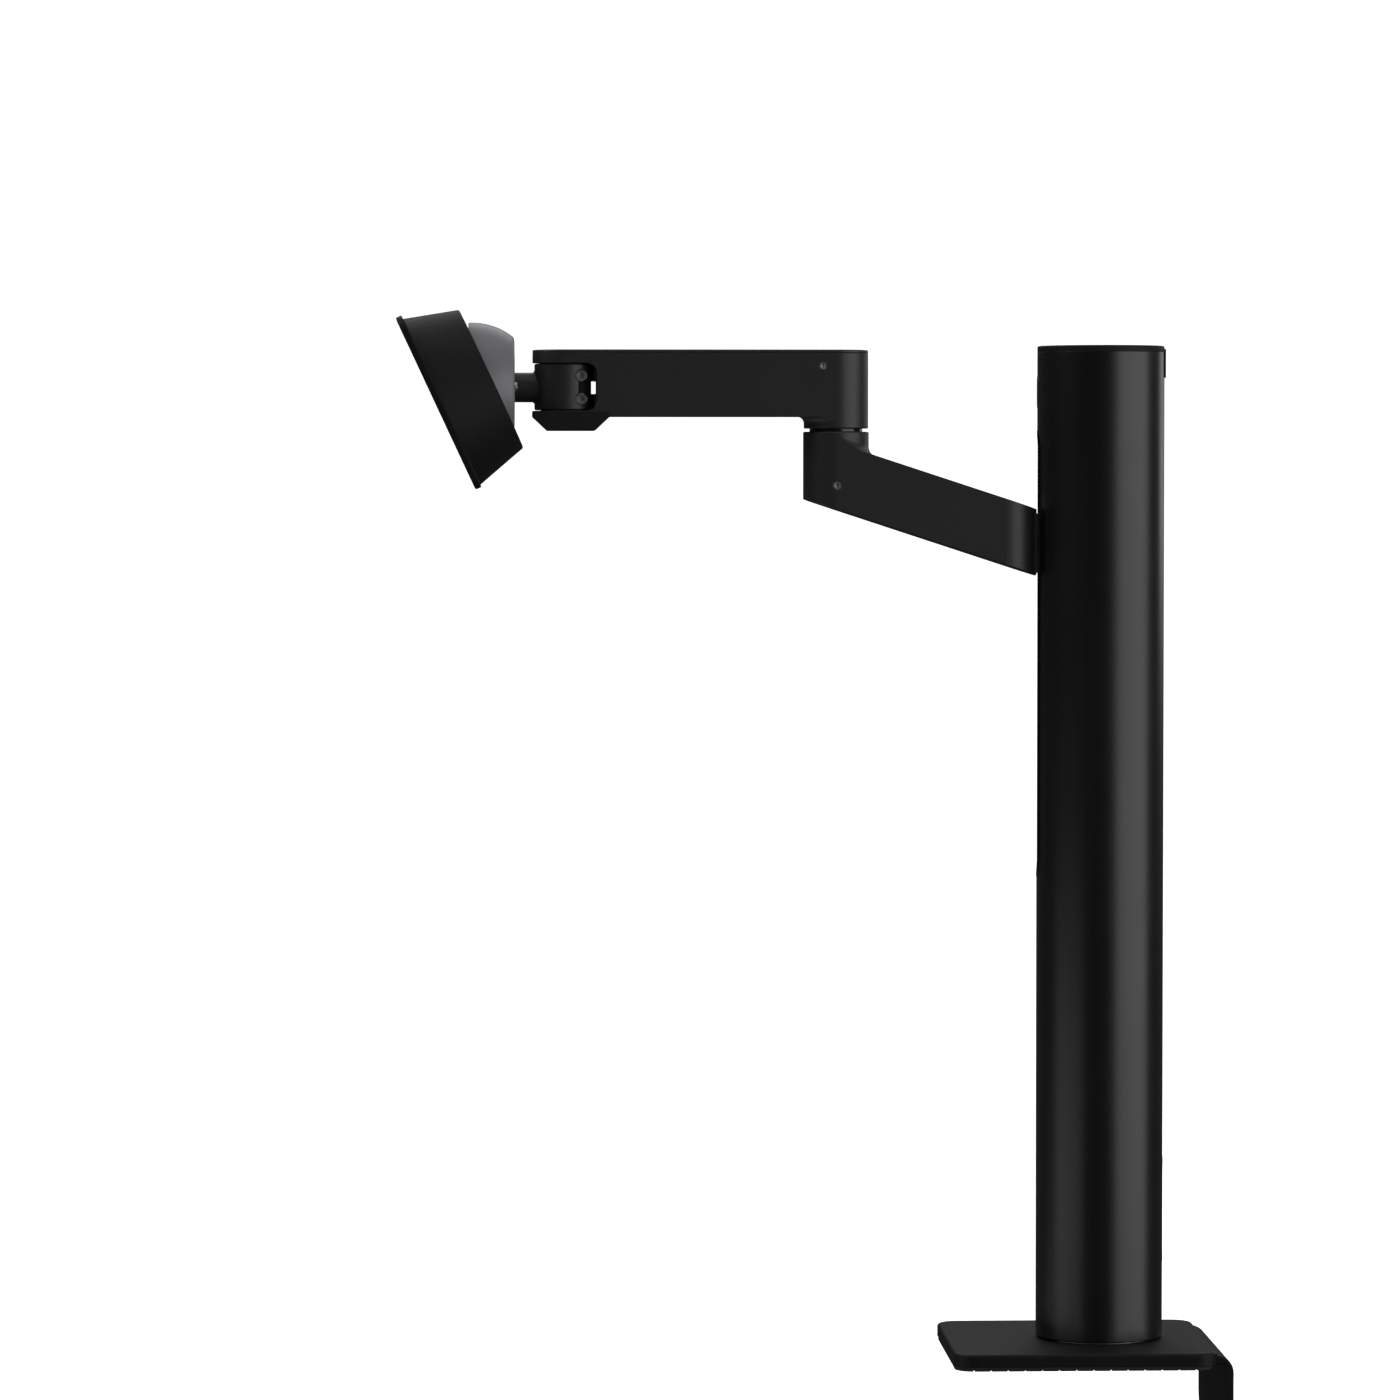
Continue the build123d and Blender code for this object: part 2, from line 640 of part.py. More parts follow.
# ---------------------------------------------------------------- height carriage
tongue_tip = -carriage_front + tongue_depth
bush_levels = (carriage_bottom, carriage_top - slide_bush_length)
with BuildPart() as carriage_block:
    with BuildSketch(Plane.XY.offset(carriage_bottom)):
        Circle(carriage_radius)
        with Locations((-carriage_front, 0)):
            Rectangle(
                carriage_front + carriage_rear,
                2 * carriage_radius,
                align=(Align.MIN, Align.CENTER),
                mode=Mode.INTERSECT,
            )
        with Locations(*rod_places):
            Circle(rod_radius + turn_gap, mode=Mode.SUBTRACT)
    extrude(amount=carriage_height)
    for bush_level in bush_levels:
        with BuildSketch(Plane.XY.offset(bush_level)):
            with Locations(*rod_places):
                Circle(slide_bush_radius)
        extrude(amount=slide_bush_length, mode=Mode.SUBTRACT)
    with Locations((gas_x, 0, carriage_bottom)):
        Cylinder(gas_radius + turn_gap, carriage_height - 12, align=MIN, mode=Mode.SUBTRACT)
        Cylinder(gas_rod_radius, carriage_height - 3, align=MIN, mode=Mode.SUBTRACT)
    with Locations(((-carriage_front + tongue_tip) / 2, 0, tongue_bottom + tongue_height / 2)):
        Box(tongue_depth, tongue_width + 2 * run_gap, tongue_height + 2 * run_gap, mode=Mode.SUBTRACT)
    with Locations(*[(cheek_bolt_x, 0, z) for z in cheek_bolt_heights]):
        Cylinder(cheek_bolt_radius, 2 * carriage_radius, rotation=(90, 0, 0), mode=Mode.SUBTRACT)
    for side in (-1, 1):
        with Locations(*[(cheek_bolt_x, side * (cheek_inside + 10), z) for z in cheek_bolt_heights]):
            Cylinder(cheek_head_radius + seat_gap, 20, rotation=(90, 0, 0), mode=Mode.SUBTRACT)

with BuildPart() as slide_bushes:
    for bush_level in bush_levels:
        with BuildSketch(Plane.XY.offset(bush_level)):
            with Locations(*rod_places):
                Circle(slide_bush_radius)
                Circle(rod_radius + run_gap, mode=Mode.SUBTRACT)
        extrude(amount=slide_bush_length)

with BuildPart() as cheek_bolts:
    with Locations(*[(cheek_bolt_x, 0, z) for z in cheek_bolt_heights]):
        Cylinder(cheek_bolt_radius, 2 * cheek_inside + cheek_head_height, rotation=(90, 0, 0))
    with Locations(*[(cheek_bolt_x, -cheek_inside - cheek_head_height / 2, z) for z in cheek_bolt_heights]):
        Cylinder(cheek_head_radius, cheek_head_height, rotation=(90, 0, 0))
    with BuildSketch(Plane.XZ.offset(-cheek_inside)):
        with Locations(*[(cheek_bolt_x, z) for z in cheek_bolt_heights]):
            RegularPolygon(cheek_head_radius, 6)
            Circle(cheek_bolt_radius + run_gap, mode=Mode.SUBTRACT)
    extrude(amount=-cheek_head_height)

# ---------------------------------------------------------------- lower link
lower_span = lower_end_x - elbow_x
cover_screw_planes = [
    Plane(origin=(x, 0, lower_line(x)), x_dir=(0, 1, 0), z_dir=(-lower_slope, 0, -1))
    for x in ((lower_cover[0] + lower_pocket[0]) / 2, (lower_cover[1] + lower_pocket[1]) / 2)
]
with BuildPart() as lower_arm:
    with BuildSketch(Plane.XZ):
        Polygon(*link_band(elbow_x - 3 * lower_radius, 0, 0, lower_height), align=None)
    extrude(amount=3 * lower_radius, both=True)
    with BuildSketch(Plane.XY.offset(elbow_level)):
        with Locations((elbow_x, 0)):
            Circle(lower_radius)
    extrude(amount=lower_line(elbow_x, lower_height / 2) - elbow_level)
    fillet(lower_arm.edges().filter_by(GeomType.ELLIPSE), hub_blend)
    with BuildSketch(Plane.XY.offset(lower_bottom_at_column - 10)):
        with Locations(((lower_end_x + elbow_x) / 2, 0)):
            SlotCenterToCenter(lower_span, 2 * lower_radius)
    extrude(amount=elbow_level, mode=Mode.INTERSECT)
    chamfer(lower_arm.faces().filter_by(Axis.Z).sort_by(Axis.Z)[-1].edges(), 0.5)
    underside = lower_arm.faces().sort_by(Axis((0, 0, 0), (lower_slope, 0, 1)))[0]
    fillet(underside.outer_wire().edges(), cast_edge)
    with Locations((lower_end_x + tongue_root, 0, tongue_bottom)):
        Box(
            tongue_tip - lower_end_x - tongue_root - 2 * run_gap,
            tongue_width,
            tongue_height,
            align=(Align.MIN, Align.CENTER, Align.MIN),
        )
    with BuildSketch(Plane.XZ):
        Polygon(*link_band(*lower_pocket, -2, lower_height - lower_roof), align=None)
    extrude(amount=lower_pocket_width / 2, both=True, mode=Mode.SUBTRACT)
    with BuildSketch(Plane.XZ):
        Polygon(*link_band(*lower_cover, -2, cover_thickness), align=None)
    extrude(amount=lower_cover_width / 2, both=True, mode=Mode.SUBTRACT)
    with Locations((elbow_x, 0, lower_line(elbow_x, elbow_pin_floor))):
        Cylinder(elbow_pin_radius, 60, align=MIN, mode=Mode.SUBTRACT)
    with Locations((elbow_x, 0, lower_set_screw_z)):
        Cylinder(lower_set_screw_radius, 2 * lower_radius + 2, rotation=(90, 0, 0), mode=Mode.SUBTRACT)
    with Locations(*[(cheek_bolt_x, 0, z) for z in cheek_bolt_heights]):
        Cylinder(cheek_bolt_radius, 2 * tongue_width, rotation=(90, 0, 0), mode=Mode.SUBTRACT)
    with Locations(*cover_screw_planes):
        Cylinder(small_screw_radius, 10, align=MAX, mode=Mode.SUBTRACT)

cover_ends = (lower_cover[0] + seat_gap, lower_cover[1] - seat_gap)
with BuildPart() as lower_arm_cover:
    with BuildSketch(Plane.XZ):
        Polygon(*link_band(*cover_ends, 0, cover_thickness), align=None)
    extrude(amount=lower_cover_width / 2 - seat_gap, both=True)
    with Locations(*cover_screw_planes):
        Cylinder(small_screw_radius, 10, align=MAX, mode=Mode.SUBTRACT)
        Cone(small_screw_radius, 2 * small_screw_radius, small_screw_radius, align=MAX, mode=Mode.SUBTRACT)

head_rim = 2 * small_screw_radius - flush_gap
head_depth = small_screw_radius - flush_gap
with BuildPart() as cover_screws:
    with Locations(*[plane.offset(-flush_gap) for plane in cover_screw_planes]):
        Cylinder(small_screw_radius, 9, align=MAX)
        Cone(small_screw_radius, head_rim, head_depth, align=MAX)
        with BuildSketch():
            RegularPolygon(socket_radius, 6)
    extrude(amount=-1, mode=Mode.SUBTRACT)

pin_bottom = lower_line(elbow_x, elbow_pin_floor)
nut_z = elbow_floor + disc_spring_height + run_gap
with BuildPart() as elbow_pin:
    with Locations((elbow_x, 0, pin_bottom)):
        Cylinder(elbow_pin_radius, nut_z + nut_height + 1 - pin_bottom, align=MIN)
    chamfer(elbow_pin.faces().sort_by(Axis.Z)[-1].edges(), 0.8)

set_screw_length = lower_radius - elbow_pin_radius - 1.0
with BuildPart() as elbow_set_screws:
    for side in (-1, 1):
        with Locations((elbow_x, side * (elbow_pin_radius + set_screw_length / 2), lower_set_screw_z)):
            Cylinder(lower_set_screw_radius, set_screw_length, rotation=(90, 0, 0))
        with BuildSketch(Plane.XZ.offset(-side * (elbow_pin_radius + set_screw_length))):
            with Locations((elbow_x, lower_set_screw_z)):
                RegularPolygon(1.2, 6)
        extrude(amount=side * 2, mode=Mode.SUBTRACT)

with BuildPart() as elbow_washer:
    with Locations((elbow_x, 0, elbow_level)):
        Cylinder(washer_radius, elbow_gap - 2 * run_gap, align=MIN)
        Cylinder(elbow_pin_radius + run_gap, elbow_gap, align=MIN, mode=Mode.SUBTRACT)

# ---------------------------------------------------------------- upper link
upper_span = elbow_x - swivel_x
upper_mid = (elbow_x + swivel_x) / 2
with BuildPart() as upper_arm:
    with Locations((upper_mid, 0, upper_bottom)):
        Box(2 * upper_span, 6 * upper_radius, upper_shell_top - upper_bottom, align=MIN)
    with Locations((elbow_x, 0, hub_bottom)):
        Cylinder(upper_radius, upper_bottom - hub_bottom + 1, align=MIN)
    hub_edges = upper_arm.edges().filter_by(GeomType.CIRCLE)
    fillet(hub_edges.filter_by_position(Axis.Z, upper_bottom - 0.1, upper_bottom + 0.1), upper_blend)
    with BuildSketch(Plane.XY.offset(hub_bottom)):
        with Locations((upper_mid, 0)):
            SlotCenterToCenter(upper_span, 2 * upper_radius)
    extrude(amount=upper_top, mode=Mode.INTERSECT)
    cavity_x = (elbow_x - washer_radius - 4, web_end)
    with BuildSketch(Plane.XY.offset(upper_bottom + upper_wall)):
        with Locations((sum(cavity_x) / 2, 0)):
            RectangleRounded(cavity_x[0] - cavity_x[1], 2 * (upper_radius - upper_wall), 4)
    extrude(amount=upper_top, mode=Mode.SUBTRACT)
    with Locations((elbow_x, 0, elbow_floor)):
        Cylinder(upper_radius - upper_wall, 40, align=MIN, mode=Mode.SUBTRACT)
    with Locations((elbow_x, 0, hub_bottom)):
        Cylinder(elbow_pin_radius + run_gap + elbow_bush_wall, 40, align=MIN, mode=Mode.SUBTRACT)
    with Locations((swivel_x, 0, fork_low)):
        Cylinder(barrel_radius + turn_gap + 0.1, fork_high - fork_low, align=MIN, mode=Mode.SUBTRACT)
    with BuildSketch(Plane.XZ) as fork_window:
        with Locations((swivel_x - 2 * upper_radius, (fork_low + fork_high) / 2)):
            fork_length = web_start - swivel_x + 2 * upper_radius
            Rectangle(fork_length, fork_high - fork_low, align=(Align.MIN, Align.CENTER))
        fillet(fork_window.vertices().group_by(Axis.X)[-1], 5)
    extrude(amount=2 * upper_radius, both=True, mode=Mode.SUBTRACT)
    with BuildSketch(Plane.YZ.offset(web_start - web_rib)):
        for side in (-1, 1):
            for rib_low, rib_high in ((fork_low - 1, notch_z[0]), (notch_z[1], fork_high + 1)):
                with Locations((side * sum(web_rib_y) / 2, (rib_low + rib_high) / 2)):
                    Rectangle(web_rib_y[1] - web_rib_y[0], rib_high - rib_low)
    extrude(amount=web_rib + 1)
    with Locations((swivel_x, 0, upper_bottom)):
        Cylinder(swivel_pin_radius, 60, align=MIN, mode=Mode.SUBTRACT)
    with Locations((swivel_x, 0, upper_shell_top)):
        Cylinder(swivel_head_radius + seat_gap, swivel_head_height + seat_gap, align=MAX, mode=Mode.SUBTRACT)
    with Locations((upper_set_screw[0], 0, upper_set_screw[1])):
        Cylinder(upper_set_radius, 2 * upper_radius + 2, rotation=(90, 0, 0), mode=Mode.SUBTRACT)
    chamfer(upper_arm.faces().sort_by(Axis.Z)[0].outer_wire().edges(), 0.4)
    chamfer(upper_arm.faces().sort_by(Axis.Z)[-1].outer_wire().edges(), seam_chamfer)

with BuildPart() as upper_arm_cover:
    with BuildSketch(Plane.XY.offset(upper_shell_top)):
        with Locations((upper_mid, 0)):
            SlotCenterToCenter(upper_span, 2 * upper_radius)
    extrude(amount=upper_cover_thickness)
    fillet(upper_arm_cover.faces().sort_by(Axis.Z)[-1].edges(), cast_edge)
    chamfer(upper_arm_cover.faces().sort_by(Axis.Z)[0].edges(), seam_chamfer)
    with BuildSketch(Plane.XY.offset(upper_shell_top)):
        with Locations((sum(cavity_x) / 2, 0)):
            RectangleRounded(cavity_x[0] - cavity_x[1] - 0.6, 2 * (upper_radius - upper_wall) - 0.6, 3.7)
            lip_width = 2 * (upper_radius - upper_wall) - 3
            RectangleRounded(cavity_x[0] - cavity_x[1] - 3, lip_width, 3, mode=Mode.SUBTRACT)
    extrude(amount=-3)

with BuildPart() as upper_set_screws:
    for side in (-1, 1):
        with Locations((upper_set_screw[0], side * (upper_radius - 1.4), upper_set_screw[1])):
            Cylinder(upper_set_radius, 2.2, rotation=(90, 0, 0))
        with BuildSketch(Plane.XZ.offset(-side * (upper_radius - 0.3))):
            with Locations(upper_set_screw):
                RegularPolygon(socket_radius, 6)
        extrude(amount=side, mode=Mode.SUBTRACT)

with BuildPart() as elbow_bush:
    with Locations((elbow_x, 0, hub_bottom)):
        Cylinder(elbow_pin_radius + run_gap + elbow_bush_wall, elbow_floor - hub_bottom, align=MIN)
        Cylinder(elbow_pin_radius + run_gap, 40, align=MIN, mode=Mode.SUBTRACT)

with BuildPart() as disc_springs:
    for level in range(2):
        with Locations((elbow_x, 0, elbow_floor + level * disc_spring_height / 2)):
            Cylinder(nut_across / 2 + 1, disc_spring_height / 2 - run_gap, align=MIN)
    with Locations((elbow_x, 0, elbow_floor)):
        Cylinder(elbow_pin_radius + run_gap, disc_spring_height, align=MIN, mode=Mode.SUBTRACT)

with BuildPart() as elbow_nut:
    with BuildSketch(Plane.XY.offset(nut_z)):
        with Locations((elbow_x, 0)):
            RegularPolygon(nut_across / 2, 6, major_radius=False)
            Circle(elbow_pin_radius, mode=Mode.SUBTRACT)
    extrude(amount=nut_height)

with BuildPart() as swivel_pin:
    with Locations((swivel_x, 0, upper_shell_top - seat_gap)):
        Cylinder(swivel_head_radius, swivel_head_height, align=MAX)
        Cylinder(swivel_pin_radius, upper_shell_top - seat_gap - upper_bottom, align=MAX)

with BuildPart() as swivel_washers:
    with Locations((swivel_x, 0, fork_low), (swivel_x, 0, fork_high - washer_thickness)):
        Cylinder(barrel_radius - 3, washer_thickness, align=MIN)
    with Locations((swivel_x, 0, fork_low)):
        Cylinder(swivel_pin_radius + run_gap, fork_high - fork_low, align=MIN, mode=Mode.SUBTRACT)

holder_front = swivel_x - upper_radius
holder_low = upper_bottom - holder_drop
holder_high = upper_bottom + holder_wrap
with BuildPart() as cable_holder:
    with BuildSketch(Plane.XY.offset(holder_low)):
        with Locations((swivel_x, 0)):
            SlotCenterToCenter(200, 2 * (upper_radius + holder_wall))
    extrude(amount=holder_high - holder_low)
    with BuildSketch(Plane.XZ):
        Polygon(
            (holder_front, holder_high),
            (holder_rear, holder_high),
            (holder_rear, upper_bottom),
            (holder_rear - holder_chamfer, holder_low),
            (holder_front + holder_chamfer, holder_low),
            (holder_front, upper_bottom),
            align=None,
        )
    extrude(amount=2 * upper_radius, both=True, mode=Mode.INTERSECT)
    fillet(cable_holder.faces().sort_by(Axis.Z)[0].edges(), holder_edge)
    with BuildSketch(Plane.XY.offset(upper_bottom)):
        with Locations((swivel_x + 50, 0)):
            SlotCenterToCenter(100, 2 * (upper_radius + run_gap))
    extrude(amount=holder_drop, mode=Mode.SUBTRACT)
    with BuildSketch(Plane.XY.offset(holder_low + holder_floor)):
        Rectangle(1000, 2 * (upper_radius - holder_wall))
    extrude(amount=holder_drop - holder_floor, mode=Mode.SUBTRACT)

# ---------------------------------------------------------------- swivel knuckle, neck and dome
neck_end = head_x + eye_radius / 2
dome_back_x = head_x + dome_back
collar_x = dome_back_x - dome_wall - collar_thickness
with BuildPart() as swivel_knuckle:
    with Locations((swivel_x, 0, barrel_low)):
        Cylinder(barrel_radius, barrel_high - barrel_low, align=MIN)
    chamfer(swivel_knuckle.edges().filter_by(GeomType.CIRCLE), 0.5)
    with BuildSketch(rear_plane.offset(neck_end)):
        with Locations((0, neck_z)):
            Circle(neck_radius)
    extrude(amount=swivel_x - neck_end)
    neck_root = swivel_knuckle.edges()
    neck_root = neck_root.filter_by(lambda e: e.geom_type not in (GeomType.LINE, GeomType.CIRCLE))
    fillet(neck_root, neck_blend)
    with BuildSketch(rear_plane.offset(collar_x)):
        with Locations((0, neck_z)):
            Circle(collar_radius)
    extrude(amount=collar_thickness)
    with Locations(head_centre):
        Cylinder(eye_radius, eye_width, rotation=(90, 0, 0))
        Cylinder(tilt_bolt_radius + run_gap, 2 * eye_width, rotation=(90, 0, 0), mode=Mode.SUBTRACT)
    with Locations((swivel_x, 0, barrel_low)):
        Cylinder(swivel_pin_radius + run_gap, 60, align=MIN, mode=Mode.SUBTRACT)
    with BuildSketch(Plane.XZ):
        with Locations((slit_x, sum(notch_z) / 2)):
            Rectangle(barrel_radius, notch_z[1] - notch_z[0], align=(Align.MIN, Align.CENTER))
    extrude(amount=2 * barrel_radius, both=True, mode=Mode.SUBTRACT)
    for side in (-1, 1):
        with Locations((notch_x, side * (clamp_seat_y + notch_depth / 2 + 0.5), sum(notch_z) / 2)):
            Box(notch_length, notch_depth, notch_z[1] - notch_z[0], mode=Mode.SUBTRACT)
        seat_y = side * (clamp_seat_y + notch_depth / 2)
        with Locations(*[(clamp_screws_x, seat_y, z) for z in clamp_screws_z]):
            Cylinder(clamp_head_radius + seat_gap, notch_depth, rotation=(90, 0, 0), mode=Mode.SUBTRACT)
    with Locations(*[(clamp_screws_x, 0, z) for z in clamp_screws_z]):
        Cylinder(clamp_shank_radius, 2 * barrel_radius, rotation=(90, 0, 0), mode=Mode.SUBTRACT)
    with BuildSketch(rear_plane.offset(collar_x)):
        with Locations(*[(y, neck_z) for y in dome_screw_ys]):
            Circle(dome_shank_radius)
    extrude(amount=collar_thickness, mode=Mode.SUBTRACT)

with BuildPart() as knuckle_screws:
    with Locations(*[(clamp_screws_x, 0, z) for z in clamp_screws_z]):
        Cylinder(clamp_shank_radius, 2 * clamp_seat_y, rotation=(90, 0, 0))
    for side in (-1, 1):
        head_y = side * (clamp_seat_y + clamp_head_height / 2)
        with Locations(*[(clamp_screws_x, head_y, z) for z in clamp_screws_z]):
            Cylinder(clamp_head_radius, clamp_head_height, rotation=(90, 0, 0))
        with BuildSketch(Plane.XZ.offset(-side * (clamp_seat_y + clamp_head_height))):
            with Locations(*[(clamp_screws_x, z) for z in clamp_screws_z]):
                RegularPolygon(1.5, 6)
        extrude(amount=side * 1.5, mode=Mode.SUBTRACT)
    with BuildSketch(rear_plane.offset(collar_x + 0.2)):
        with Locations(*[(y, neck_z) for y in dome_screw_ys]):
            Circle(dome_shank_radius)
    extrude(amount=collar_thickness + dome_wall - 0.2)
    with BuildSketch(rear_plane.offset(dome_back_x)):
        with Locations(*[(y, neck_z) for y in dome_screw_ys]):
            Circle(dome_head_radius)
            RegularPolygon(socket_radius, 6, mode=Mode.SUBTRACT)
    extrude(amount=1.2)

with BuildPart() as head_dome:
    with BuildSketch(Plane.XZ.offset(0)) as dome_profile:
        with Locations((head_x, neck_z)):
            Circle(dome_radius)
        with Locations((head_x - dome_front, neck_z)):
            Rectangle(dome_front + dome_back, dome_radius, align=(Align.MIN, Align.MIN), mode=Mode.INTERSECT)
        rear_corner = dome_profile.vertices().group_by(Axis.X)[-1].sort_by(Axis.Y)[-1]
        fillet(rear_corner, dome_round)
    revolve(axis=Axis((head_x, 0, neck_z), (1, 0, 0)))
    with BuildSketch(Plane.XZ.offset(0)):
        with Locations((head_x, neck_z)):
            Circle(dome_radius - dome_wall)
        with Locations((head_x - 2 * dome_radius, neck_z)):
            Rectangle(
                2 * dome_radius + dome_back - dome_wall,
                dome_radius,
                align=(Align.MIN, Align.MIN),
                mode=Mode.INTERSECT,
            )
    revolve(axis=Axis((head_x, 0, neck_z), (1, 0, 0)), mode=Mode.SUBTRACT)
    with BuildSketch(rear_plane.offset(dome_back_x - 2 * dome_wall)):
        with Locations((0, neck_z)):
            Circle(neck_radius + seat_gap)
        with Locations(*[(y, neck_z) for y in dome_screw_ys]):
            Circle(dome_shank_radius)
    extrude(amount=3 * dome_wall, mode=Mode.SUBTRACT)

# ---------------------------------------------------------------- tilting bracket
cheek_start = eye_width / 2 + turn_gap
cheek_end = cheek_start + cheek_thickness
with BuildPart() as tilt_bracket:
    for side in (-1, 1):
        with BuildSketch(Plane(head_plane.origin, x_dir=mount_dir, z_dir=(0, side, 0)).offset(cheek_start)):
            Circle(eye_radius)
            Rectangle(hub_plane + hub_thickness, 2 * eye_radius, align=(Align.MIN, Align.CENTER))
            Circle(tilt_bolt_radius + run_gap, mode=Mode.SUBTRACT)
        extrude(amount=cheek_thickness)
    with BuildSketch(head_plane.offset(hub_plane)):
        Circle(hub_radius)
    extrude(amount=hub_thickness)
    with BuildSketch(head_plane.offset(hub_plane)):
        Circle(axle_radius + run_gap)
        with Locations((0, stop_pin_circle)):
            Circle(stop_pin_radius)
    extrude(amount=hub_thickness, mode=Mode.SUBTRACT)

with BuildPart() as pivot_stop_pin:
    with BuildSketch(head_plane.offset(hub_plane)):
        with Locations((0, stop_pin_circle)):
            Circle(stop_pin_radius)
    extrude(amount=plate_plane + plate_thickness - 0.8 - hub_plane)

bolt_plane = Plane(head_plane.origin, x_dir=mount_dir, z_dir=(0, 1, 0))
washer_end = cheek_end + tilt_washer_height
with BuildPart() as tilt_bolt:
    with BuildSketch(bolt_plane.offset(-cheek_end)):
        Circle(tilt_bolt_radius)
    extrude(amount=2 * cheek_end + tilt_washer_height + tilt_nut_height)
    with BuildSketch(bolt_plane.offset(-cheek_end)):
        Circle(tilt_bolt_head)
        RegularPolygon(3, 6, mode=Mode.SUBTRACT)
    extrude(amount=-4)

with BuildPart() as tilt_washers:
    for level in range(2):
        with BuildSketch(bolt_plane.offset(cheek_end + level * tilt_washer_height / 2)):
            Circle(tilt_bolt_head)
            Circle(tilt_bolt_radius + run_gap, mode=Mode.SUBTRACT)
        extrude(amount=tilt_washer_height / 2 - run_gap)

with BuildPart() as tilt_nut:
    with BuildSketch(bolt_plane.offset(washer_end)):
        RegularPolygon(tilt_bolt_head, 6, major_radius=False)
        Circle(tilt_bolt_radius, mode=Mode.SUBTRACT)
    extrude(amount=tilt_nut_height)

# ---------------------------------------------------------------- display plate, pivot axle and shroud
with BuildPart() as friction_disc:
    with BuildSketch(head_plane.offset(disc_plane)):
        Circle(friction_disc_radius)
        Circle(axle_radius + run_gap, mode=Mode.SUBTRACT)
    extrude(amount=friction_disc_thickness)

stop_arc = CenterArc((0, 0), stop_pin_circle, 90 + stop_slack, -(pivot_range + 2 * stop_slack))
with BuildPart() as mount_plate:
    with BuildSketch(head_plane.offset(plate_plane)):
        RectangleRounded(plate_side, plate_side, plate_corner)
        with GridLocations(vesa_pitch, vesa_pitch, 2, 2):
            Circle(vesa_hole_radius, mode=Mode.SUBTRACT)
        with PolarLocations(shroud_boss_circle, 4):
            Circle(small_screw_radius, mode=Mode.SUBTRACT)
        with PolarLocations(29, 4, start_angle=45):
            Circle(7, mode=Mode.SUBTRACT)
        Circle(axle_radius, mode=Mode.SUBTRACT)
        SlotArc(stop_arc, 2 * (stop_pin_radius + turn_gap), mode=Mode.SUBTRACT)
    extrude(amount=plate_thickness)
    with BuildSketch(head_plane.offset(plate_front)):
        Circle(axle_head_radius + seat_gap)
    extrude(amount=-(axle_head_height + flush_gap), mode=Mode.SUBTRACT)
    with Locations(head_plane.offset(plate_front)):
        with PolarLocations(shroud_boss_circle, 4):
            Cone(
                small_screw_radius,
                2 * small_screw_radius,
                small_screw_radius,
                align=MAX,
                mode=Mode.SUBTRACT,
            )
    plate_faces = mount_plate.faces().sort_by(Axis((0, 0, 0), mount_dir))
    chamfer(plate_faces[0].outer_wire().edges() + plate_faces[-1].outer_wire().edges(), sheet_edge)

with BuildPart() as pivot_axle:
    with BuildSketch(head_plane.offset(hub_plane - axle_nut_height - 0.4)):
        Circle(axle_radius)
    extrude(amount=plate_front - flush_gap - hub_plane + axle_nut_height + 0.4)
    with BuildSketch(head_plane.offset(plate_front - flush_gap)):
        Circle(axle_head_radius)
    extrude(amount=-axle_head_height)
    chamfer(pivot_axle.edges().sort_by(Axis((0, 0, 0), mount_dir))[-1], sheet_edge)

with BuildPart() as axle_nut:
    with BuildSketch(head_plane.offset(hub_plane - run_gap)):
        Circle(eye_width / 2 - turn_gap)
        Circle(axle_radius, mode=Mode.SUBTRACT)
    extrude(amount=-axle_nut_height)

cone_length = shroud_back + plate_plane
shroud_front_radius = shroud_back_radius + cone_length * tan(radians(shroud_draft))
inner_step = shroud_wall / cos(radians(shroud_draft))
lip_radius = dome_radius + shroud_clearance
shroud_plane = Plane(head_plane.origin, x_dir=(0, 1, 0), z_dir=(mount_dir[2], 0, -mount_dir[0]))
with BuildPart() as shroud:
    with BuildSketch(shroud_plane):
        Polygon(
            (0, -shroud_back),
            (shroud_back_radius, -shroud_back),
            (shroud_front_radius, plate_plane),
            (0, plate_plane),
            align=None,
        )
    revolve(axis=Axis(head_centre, mount_dir))
    chamfer(shroud.edges().sort_by(Axis((0, 0, 0), mount_dir))[0], 0.5)
    with BuildSketch(shroud_plane):
        Polygon(
            (0, -shroud_back + shroud_wall),
            (
                shroud_back_radius - inner_step + shroud_wall * tan(radians(shroud_draft)),
                -shroud_back + shroud_wall,
            ),
            (shroud_front_radius - inner_step, plate_plane),
            (0, plate_plane),
            align=None,
        )
    revolve(axis=Axis(head_centre, mount_dir), mode=Mode.SUBTRACT)
    with BuildSketch(head_plane.offset(plate_plane - shroud_boss_length)):
        with PolarLocations(shroud_boss_circle, 4):
            Circle(shroud_boss_radius)
    extrude(amount=shroud_boss_length)
    with Locations(head_centre):
        Sphere(lip_radius, mode=Mode.SUBTRACT)
    with BuildSketch(head_plane.offset(plate_plane)):
        with PolarLocations(shroud_boss_circle, 4):
            Circle(small_screw_radius)
    extrude(amount=-(shroud_boss_length - 2), mode=Mode.SUBTRACT)

with BuildPart() as shroud_screws:
    with BuildSketch(head_plane.offset(plate_front - flush_gap)):
        with PolarLocations(shroud_boss_circle, 4):
            Circle(small_screw_radius)
    extrude(amount=-(plate_thickness + shroud_boss_length - 3))
    with Locations(head_plane.offset(plate_front - flush_gap)):
        with PolarLocations(shroud_boss_circle, 4):
            Cone(
                small_screw_radius,
                head_rim,
                head_depth,
                align=MAX,
            )
    with BuildSketch(head_plane.offset(plate_front - flush_gap)):
        with PolarLocations(shroud_boss_circle, 4):
            RegularPolygon(socket_radius, 6)
    extrude(amount=-1, mode=Mode.SUBTRACT)

